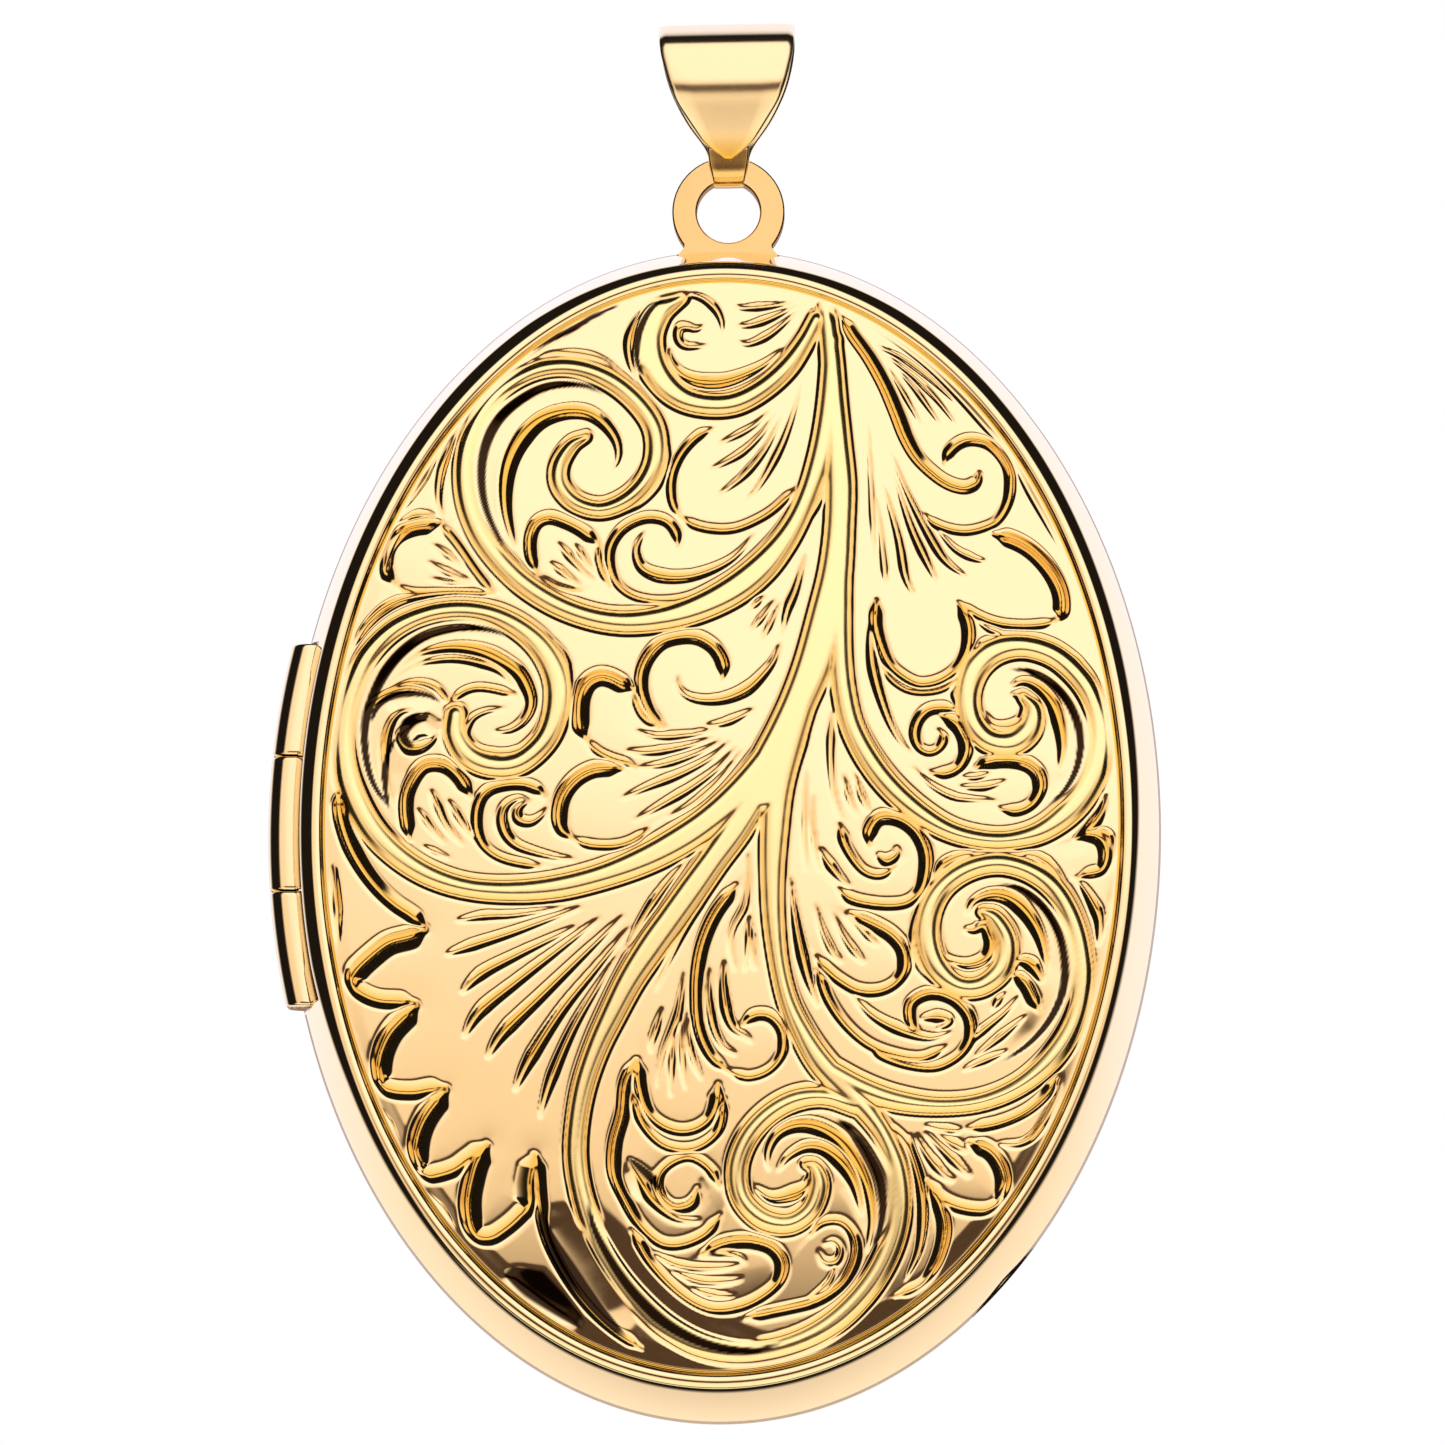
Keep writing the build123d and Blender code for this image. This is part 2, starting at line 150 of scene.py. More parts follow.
# The scrollwork. A stem is a satin band: (x, z, half its width) along its middle.
STEMS = {
    "trunk": [(3.43, 17.7, 0.3), (3.62, 16, 0.34), (3.72, 14.5, 0.38), (3.84, 13, 0.42), (3.95, 11.5, 0.46),
        (3.92, 10, 0.46), (3.8, 8.5, 0.52), (3.55, 7, 0.62), (3.1, 5.3, 0.62), (2.6, 4, 0.58),
        (2.15, 2.9, 0.62), (1.75, 1.9, 0.72), (1.35, 0.9, 0.74)],
    "upper_left": [(3.62, 16.6, 0.3), (3.6, 15.4, 0.32), (3.52, 14.2, 0.34), (3.38, 13.1, 0.36),
        (3.16, 12.1, 0.36), (2.87, 11.2, 0.34), (2.5, 10.3, 0.36), (2, 9.45, 0.42), (1.3, 8.6, 0.5),
        (0.4, 7.85, 0.52), (-0.7, 7.25, 0.48), (-1.9, 6.85, 0.42), (-3.3, 6.68, 0.38), (-4.6, 6.87, 0.36),
        (-5.9, 7.4, 0.36), (-7.1, 8.25, 0.36), (-8.1, 9.4, 0.36), (-8.65, 10.5, 0.35), (-8.87, 11.6, 0.34),
        (-8.8, 12.7, 0.34), (-8.4, 13.8, 0.34), (-7.7, 14.7, 0.34), (-6.8, 15.3, 0.33), (-5.8, 15.55, 0.33),
        (-4.8, 15.45, 0.33), (-3.8, 15, 0.33), (-2.95, 14.25, 0.33), (-2.42, 13.4, 0.33),
        (-2.35, 12.4, 0.33), (-2.7, 11.55, 0.31), (-3.35, 10.9, 0.3), (-4.2, 10.58, 0.28),
        (-5.05, 10.8, 0.28), (-5.6, 11.4, 0.28), (-5.65, 12.1, 0.27), (-5.25, 12.8, 0.22),
        (-4.75, 13.1, 0.12)],
    "top_curl": [(-1.55, 18, 0.2), (-2.3, 17.5, 0.42), (-2.65, 16.7, 0.48), (-2.55, 15.8, 0.48),
        (-2.1, 15, 0.45), (-1.4, 14.45, 0.4), (-0.5, 14.25, 0.38), (0.4, 14.35, 0.38), (1.3, 14.85, 0.36),
        (2.1, 15.6, 0.34), (2.7, 16.5, 0.28), (3.1, 17.3, 0.25)],
    "lower_left": [(3.3, 6.2, 0.4), (2.7, 4.4, 0.42), (2.15, 3, 0.46), (1.45, 1.8, 0.54),
        (0.55, 0.75, 0.54), (-0.4, -0.1, 0.52), (-1.4, -0.8, 0.52), (-2.6, -1.45, 0.48), (-4, -2, 0.42),
        (-5.5, -2.38, 0.4), (-7, -2.52, 0.36), (-8.5, -2.42, 0.34), (-9.8, -2.02, 0.36),
        (-10.9, -1.35, 0.38), (-11.8, -0.45, 0.4), (-12.45, 0.7, 0.4), (-12.8, 1.9, 0.4),
        (-12.85, 3.1, 0.4), (-12.6, 4.3, 0.4), (-12.05, 5.5, 0.38), (-11.2, 6.4, 0.36), (-10.1, 6.92, 0.34),
        (-9, 7.08, 0.34), (-7.9, 6.93, 0.34), (-6.9, 6.45, 0.36), (-6.1, 5.7, 0.4), (-5.62, 4.7, 0.42),
        (-5.62, 3.6, 0.4), (-6, 2.6, 0.38), (-6.85, 1.85, 0.38), (-7.8, 1.75, 0.38), (-8.6, 2.1, 0.38),
        (-9.05, 2.8, 0.34), (-9.05, 3.5, 0.3)],
    "bottom_loop": [(2.3, 3.4, 0.4), (1.8, 2.1, 0.46), (1.2, 0.8, 0.5), (0.5, -0.4, 0.5),
        (-0.2, -1.4, 0.48), (-0.9, -2.4, 0.5), (-1.6, -3.4, 0.5), (-2.3, -4.4, 0.5), (-3, -5.5, 0.46),
        (-3.6, -6.7, 0.42), (-4.1, -7.8, 0.38), (-4.5, -9, 0.36), (-4.72, -10.2, 0.34),
        (-4.78, -11.4, 0.34), (-4.6, -12.6, 0.34), (-4.2, -13.8, 0.36), (-3.55, -15, 0.36),
        (-2.7, -16.1, 0.38), (-1.6, -17.1, 0.4), (-0.3, -17.75, 0.4), (1.2, -17.95, 0.38),
        (2.7, -17.6, 0.38), (4, -16.85, 0.38), (5.1, -15.7, 0.38), (5.8, -14.4, 0.38), (6.08, -13.1, 0.38),
        (5.98, -11.8, 0.36), (5.55, -10.7, 0.33), (4.95, -9.85, 0.36), (4.2, -9.1, 0.42),
        (3.4, -8.25, 0.42), (2.8, -7.3, 0.36), (2.3, -6.2, 0.3), (1.98, -4.9, 0.28), (1.8, -3.4, 0.32),
        (1.75, -1.9, 0.36), (1.8, -0.4, 0.42), (1.92, 1, 0.46), (2.25, 2.4, 0.46), (2.75, 4, 0.42)],
    "right_lower": [(3.6, -8.4, 0.3), (4.8, -9.1, 0.36), (6, -9.5, 0.34), (7.4, -9.65, 0.28),
        (8.8, -9.5, 0.28), (10.1, -8.95, 0.3), (11.2, -8, 0.34), (11.95, -6.8, 0.34), (12.2, -5.5, 0.36),
        (12.1, -4.2, 0.36), (11.75, -3.1, 0.36), (11.15, -2.2, 0.36), (10.3, -1.65, 0.34),
        (9.3, -1.45, 0.34), (8.3, -1.7, 0.34), (7.5, -2.3, 0.34), (7.05, -3.15, 0.36), (6.98, -4.1, 0.38),
        (7.3, -5, 0.38), (8, -5.6, 0.34), (8.8, -5.6, 0.34), (9.5, -5, 0.36), (9.65, -4.1, 0.34),
        (9.25, -3.35, 0.3), (8.85, -3.1, 0.15)],
    "right": [(4.02, 11, 0.34), (3.98, 9.5, 0.34), (3.96, 8, 0.34), (3.96, 6.6, 0.34), (4, 5.4, 0.34),
        (4.12, 4.3, 0.35), (4.4, 3.15, 0.36), (5, 2, 0.38), (5.8, 1, 0.38), (6.8, 0.15, 0.36),
        (7.8, -0.4, 0.32), (8.9, -0.65, 0.3), (9.9, -0.62, 0.3), (10.9, -0.3, 0.36), (11.85, 0.45, 0.42),
        (12.5, 1.4, 0.42), (12.8, 2.4, 0.42), (12.78, 3.4, 0.4), (12.45, 4.4, 0.38), (11.85, 5.2, 0.38),
        (11.1, 5.75, 0.38), (10.15, 5.98, 0.38), (9.25, 5.8, 0.42), (8.6, 5.2, 0.42), (8.32, 4.3, 0.38),
        (8.45, 3.4, 0.38), (9, 2.75, 0.38), (9.8, 2.65, 0.4), (10.4, 3.1, 0.38), (10.55, 3.8, 0.3),
        (10.2, 4.25, 0.15)],
    "bottom_curl": [(4.6, -9.7, 0.3), (3.6, -9.4, 0.3), (2.6, -9.5, 0.33), (1.7, -10, 0.33),
        (1, -10.8, 0.33), (0.65, -11.8, 0.33), (0.8, -12.8, 0.33), (1.5, -13.5, 0.35), (2.4, -13.65, 0.33),
        (3.1, -13.2, 0.31), (3.4, -12.4, 0.3), (3.25, -11.8, 0.22), (2.95, -11.65, 0.1)],
}

# Leaf outlines: a groove of the given width, its raised side on the left of its direction.
OUTLINES = [
    # left leaf at the hinge side, above the big spiral
    (0.34, [(-9.7, 10.12), (-10.6, 10.02), (-11.25, 9.7), (-11.6, 9.15), (-11.58, 8.55), (-11.2, 8)]),
    (0.18, [(-11.2, 8), (-10.6, 7.73), (-9.2, 7.72), (-7.8, 7.66)]),
    (0.18, [(-7.8, 7.66), (-8.4, 8.4), (-9.1, 9.4), (-9.7, 10.12)]),
    # second leaf, under the upper spiral
    (0.26, [(-4.25, 9.4), (-4.8, 9.85), (-5.35, 10.15), (-5.95, 10.33), (-6.4, 10.15), (-6.62, 9.65),
        (-6.6, 9), (-6.35, 8.35)]),
    (0.14, [(-6.35, 8.35), (-5.6, 7.9), (-4.7, 7.72)]),
    (0.18, [(-3.85, 7.9), (-4.2, 8.7), (-4.25, 9.4)]),
    # small spiral
    (0.22, [(-1.55, 9.3), (-1.62, 9.8), (-1.95, 10.2), (-2.5, 10.33), (-3.05, 10.2), (-3.55, 9.85),
        (-3.87, 9.3), (-3.9, 8.7), (-3.65, 8.05), (-3.1, 7.6), (-2.3, 7.42), (-1.4, 7.5), (-0.5, 7.85),
        (0.4, 8.4), (1.1, 9.05)]),
    # heart leaf
    (0.24, [(-1.45, 10.3), (-0.95, 10.03), (-0.3, 9.9), (0.35, 9.93), (1, 10.18), (1.67, 10.6),
        (2.45, 11.35)]),
    (0.2, [(-0.45, 13.4), (-0.9, 13.2), (-1.35, 12.75), (-1.65, 12.25), (-1.82, 11.7), (-1.83, 11.1),
        (-1.7, 10.65), (-1.45, 10.3)]),
    # big upper-right leaf
    (0.34, [(3.95, 17.4), (4.35, 16.75), (4.9, 15.95), (5.42, 15), (5.82, 14.05), (6.15, 13.2),
        (6.55, 12.5), (7.1, 11.95), (7.65, 11.58), (8.2, 11.45), (8.6, 11.65), (8.72, 11.95)]),
    (0.24, [(6.8, 10.5), (7.1, 10.22), (7.65, 10), (8.25, 9.93), (8.85, 10.07), (9.3, 10.32), (9.63, 10.85),
        (9.77, 11.45), (9.72, 12.15), (9.4, 12.7), (8.95, 13.05), (8.4, 13.15), (7.95, 13), (7.6, 12.65),
        (7.45, 12.25)]),
    (0.34, [(11.3, 6.88), (11.52, 7.1), (11.55, 7.7), (11.35, 8.3), (10.95, 8.9), (10.42, 9.4), (9.8, 9.72),
        (9.2, 9.85)]),
    (0.24, [(8, 7.45), (8.6, 7.05), (9.3, 6.78), (10.1, 6.7), (10.8, 6.75), (11.3, 6.88)]),
    (0.28, [(5.2, 7.5), (5.15, 6.8), (5.3, 6.1), (5.6, 5.4), (6.05, 4.95), (6.65, 4.65), (7.3, 4.75),
        (7.9, 5.15), (8.25, 5.7), (8.38, 6.3), (8.3, 6.9), (8, 7.45)]),
    # lobes of the long leaf at the left of the trunk
    (0.36, [(-3, 4.4), (-3.4, 4.6), (-3.8, 4.8), (-4.2, 4.85), (-4.6, 4.62), (-4.82, 4.15), (-4.87, 3.6),
        (-4.82, 3.1), (-4.6, 2.65)]),
    (0.22, [(-4.6, 2.65), (-4.2, 2.25), (-3.7, 2), (-3.2, 1.85), (-2.85, 1.65)]),
    (0.18, [(-2.1, 3.05), (-2.6, 3.4), (-2.85, 3.8), (-3, 4.4)]),
    (0.32, [(-3.35, 1.67), (-4, 1.7), (-4.5, 1.6), (-5, 1.28), (-5.38, 0.75), (-5.52, 0.1), (-5.4, -0.4),
        (-5, -0.75)]),
    (0.24, [(-5, -0.75), (-4.4, -0.95), (-3.6, -0.97), (-3, -0.8), (-2.45, -0.42)]),
    (0.28, [(0.02, 4.75), (0.05, 5.2), (-0.1, 5.6), (-0.4, 5.95), (-0.9, 6.2), (-1.5, 6.2), (-2.1, 6),
        (-2.55, 5.5), (-2.78, 4.9), (-2.75, 4.3), (-2.45, 3.6), (-1.95, 3.05)]),
    # left lobe inside the big spiral and its neighbour
    (0.3, [(-8.45, 0.72), (-8.85, 1.35), (-9.25, 1.72), (-9.7, 1.85), (-10.15, 1.75), (-10.5, 1.3),
        (-10.72, 0.7), (-10.7, 0), (-10.55, -0.75)]),
    (0.24, [(-5.95, 0.7), (-6.2, 0.95), (-6.65, 1.12), (-7.2, 1.13), (-7.8, 0.98), (-8.15, 0.65),
        (-8.3, 0.1), (-8.25, -0.5), (-7.95, -1.05), (-7.3, -1.45), (-6.1, -1.7)]),
    (0.16, [(-9.2, 3.85), (-9.42, 4.12), (-9.75, 4.45), (-10.3, 4.62), (-10.9, 4.55), (-11.55, 4.15),
        (-12, 3.5)]),
    (0.16, [(-7, 4.18), (-7.8, 4.38), (-8.4, 4.42), (-8.9, 4.22), (-9.2, 3.85)]),
    # the scalloped edge of the great lower-left leaf
    (0.42, [(-13, 0.9), (-12.9, 0), (-12.6, -0.9), (-12.15, -1.7), (-11.6, -2.4), (-11, -2.95),
        (-10.4, -3.35), (-9.95, -3.75)]),
    (0.46, [(-9.95, -3.85), (-10.5, -4.05), (-11.2, -4.25), (-11.8, -4.7), (-12.3, -5.2), (-12.45, -5.6),
        (-12.1, -5.95), (-11.5, -6.2), (-10.8, -6.25), (-10.25, -6.3)]),
    (0.46, [(-10.2, -6.4), (-10.6, -6.75), (-11.1, -7.3), (-11.4, -7.95), (-11.5, -8.6), (-11.45, -9),
        (-11, -9.25), (-10.3, -9.3), (-9.7, -9.2), (-9.15, -9.15)]),
    (0.46, [(-9.15, -9.25), (-9.6, -9.75), (-9.95, -10.3), (-10.15, -10.9), (-10.2, -11.6),
        (-10.05, -12.05), (-9.6, -12.1), (-8.9, -11.9), (-8.4, -11.55), (-7.75, -11.05)]),
    (0.46, [(-7.75, -11.1), (-8.1, -11.6), (-8.3, -12.3), (-8.4, -13), (-8.3, -13.7), (-8.05, -14.1),
        (-7.6, -14.15), (-7.1, -13.85), (-6.6, -13.4), (-6.3, -13), (-6.3, -12.3), (-6.15, -11.4)]),
    (0.3, [(-6.1, -11.4), (-6.05, -12.3), (-5.95, -13.2), (-5.7, -14.2), (-5.2, -15.2), (-4.5, -16.2),
        (-3.6, -17.1), (-2.5, -17.85)]),
    # leaves between the trunk and the lower spirals
    (0.24, [(4, -0.2), (4.15, -0.8), (4.5, -1.4), (4.9, -1.8), (5.4, -1.9), (5.9, -1.6)]),
    (0.3, [(4, -2.4), (4.4, -2.7), (5, -2.85), (5.7, -2.9), (6.3, -2.8), (6.75, -2.4), (6.95, -1.8),
        (6.95, -1.1), (6.7, -0.5), (6.3, -0.1), (5.8, 0.1), (5.3, 0.05), (5, -0.4), (5, -0.9)]),
    (0.3, [(3.25, -4.7), (3.6, -5.1), (4.1, -5.5), (4.7, -5.8), (5.4, -5.8), (5.95, -5.5), (6.25, -5),
        (6.2, -4.4), (5.8, -3.9), (5.2, -3.55), (4.4, -3.2)]),
    (0.26, [(3.3, -5.1), (3.6, -6), (4.2, -6.9), (5, -7.6), (5.9, -7.95), (6.8, -8.05), (7.6, -7.7)]),
    (0.26, [(5.05, -7.6), (5.5, -8), (6.4, -8.3), (7.3, -8.35), (8, -8), (8.4, -7.5), (8.5, -7),
        (8.35, -6.5), (7.9, -6.05), (7.3, -5.85), (6.75, -5.95), (6.4, -6.3), (6.45, -6.9), (6.8, -7.3)]),
    (0.3, [(10.8, -6.45), (10.55, -5.9), (10.25, -5.4), (9.8, -5.15)]),
    (0.28, [(0.5, -2.3), (-0.15, -3.2), (-0.55, -4.1), (-0.75, -5), (-0.8, -6), (-0.7, -7.1), (-0.3, -8),
        (0.3, -8.55)]),
    (0.24, [(0.3, -8.55), (1, -8.75), (1.7, -8.5), (2.15, -7.9), (2.15, -7.2), (1.75, -6.7), (1.2, -6.65),
        (0.75, -7)]),
    (0.3, [(-2.75, -8.2), (-2.7, -9), (-2.45, -9.8), (-2, -10.3), (-1.4, -10.55), (-0.8, -10.5),
        (-0.3, -10.15), (-0.05, -9.6), (0, -9)]),
    (0.3, [(-2.8, -8.2), (-3.15, -9), (-3.25, -10), (-3.5, -11), (-3.5, -12), (-3.1, -12.9), (-2.6, -13.7),
        (-1.9, -14.3), (-1.2, -14.35), (-0.4, -14), (0.1, -13.4)]),
    (0.26, [(-0.7, -12.5), (-0.9, -13), (-1.5, -13.1), (-1.95, -12.65), (-1.95, -12.05), (-1.5, -11.6),
        (-0.9, -11.45), (-0.3, -11.8), (0.05, -12.4)]),
    (0.3, [(-2.85, -13.9), (-2.2, -15), (-1.2, -16), (-0.2, -16.5), (0.8, -16.4), (1.6, -16), (2.1, -15.5),
        (2.2, -14.9), (1.8, -14.4), (1, -14.2), (0.2, -14.3), (-0.5, -14.65)]),
    (0.24, [(3.15, -14), (3.5, -13.6), (4.1, -13.55), (4.5, -13.9), (4.65, -14.5), (4.5, -15.1),
        (4.1, -15.7), (3.3, -16.2), (2.4, -16.45), (1, -16.75)]),
    # lower-right leaf against the rim
    (0.34, [(7, -12.15), (7.5, -12.75), (8.2, -13.05), (9, -13.1), (9.55, -12.8), (9.65, -12.2),
        (9.5, -11.6), (9.1, -11.1), (8.4, -10.85)]),
    (0.3, [(8.4, -10.4), (9.4, -10.2), (10.3, -9.8), (11, -9.2), (11.35, -8.6)]),
    (0.3, [(6, -16), (6.9, -15.6), (7.4, -14.8), (7.65, -13.8), (7.45, -12.9), (7, -12.2)]),
    # small leaf at the right side
    (0.3, [(12.05, -1.9), (12.4, -1.75), (12.85, -1.6), (13.05, -1.1), (12.9, -0.6), (12.5, -0.4),
        (12, -0.55)]),
    # inside the right-hand loop: its long leaf, small curl and lobe
    (0.24, [(8, 3.75), (7.5, 3.85), (7, 3.78), (6.65, 3.45), (6.5, 2.95), (6.65, 2.5), (7, 2.3),
        (7.35, 2.45), (7.52, 2.8), (7.35, 3.05)]),
    (0.3, [(7.05, 1.6), (7.6, 1.6), (8.05, 1.85), (8.3, 2.4), (8.2, 2.95), (7.9, 3.35), (7.4, 3.6)]),
    (0.3, [(9.4, 0.4), (10, 0.35), (10.5, 0.6), (10.8, 1.1), (10.75, 1.6), (10.4, 1.95), (9.8, 2.1),
        (9.1, 2.05), (8.6, 1.8)]),
    (0.2, [(5.4, 5.2), (5.8, 4.72), (6.3, 4.42), (6.9, 4.36), (7.5, 4.5), (8, 4.9)]),
    # under the lobe at the left of the bottom loop
    (0.26, [(-2.9, -9.3), (-2.55, -10.3), (-1.8, -11.05), (-0.8, -11.15), (0, -10.55), (0.2, -9.5)]),
]

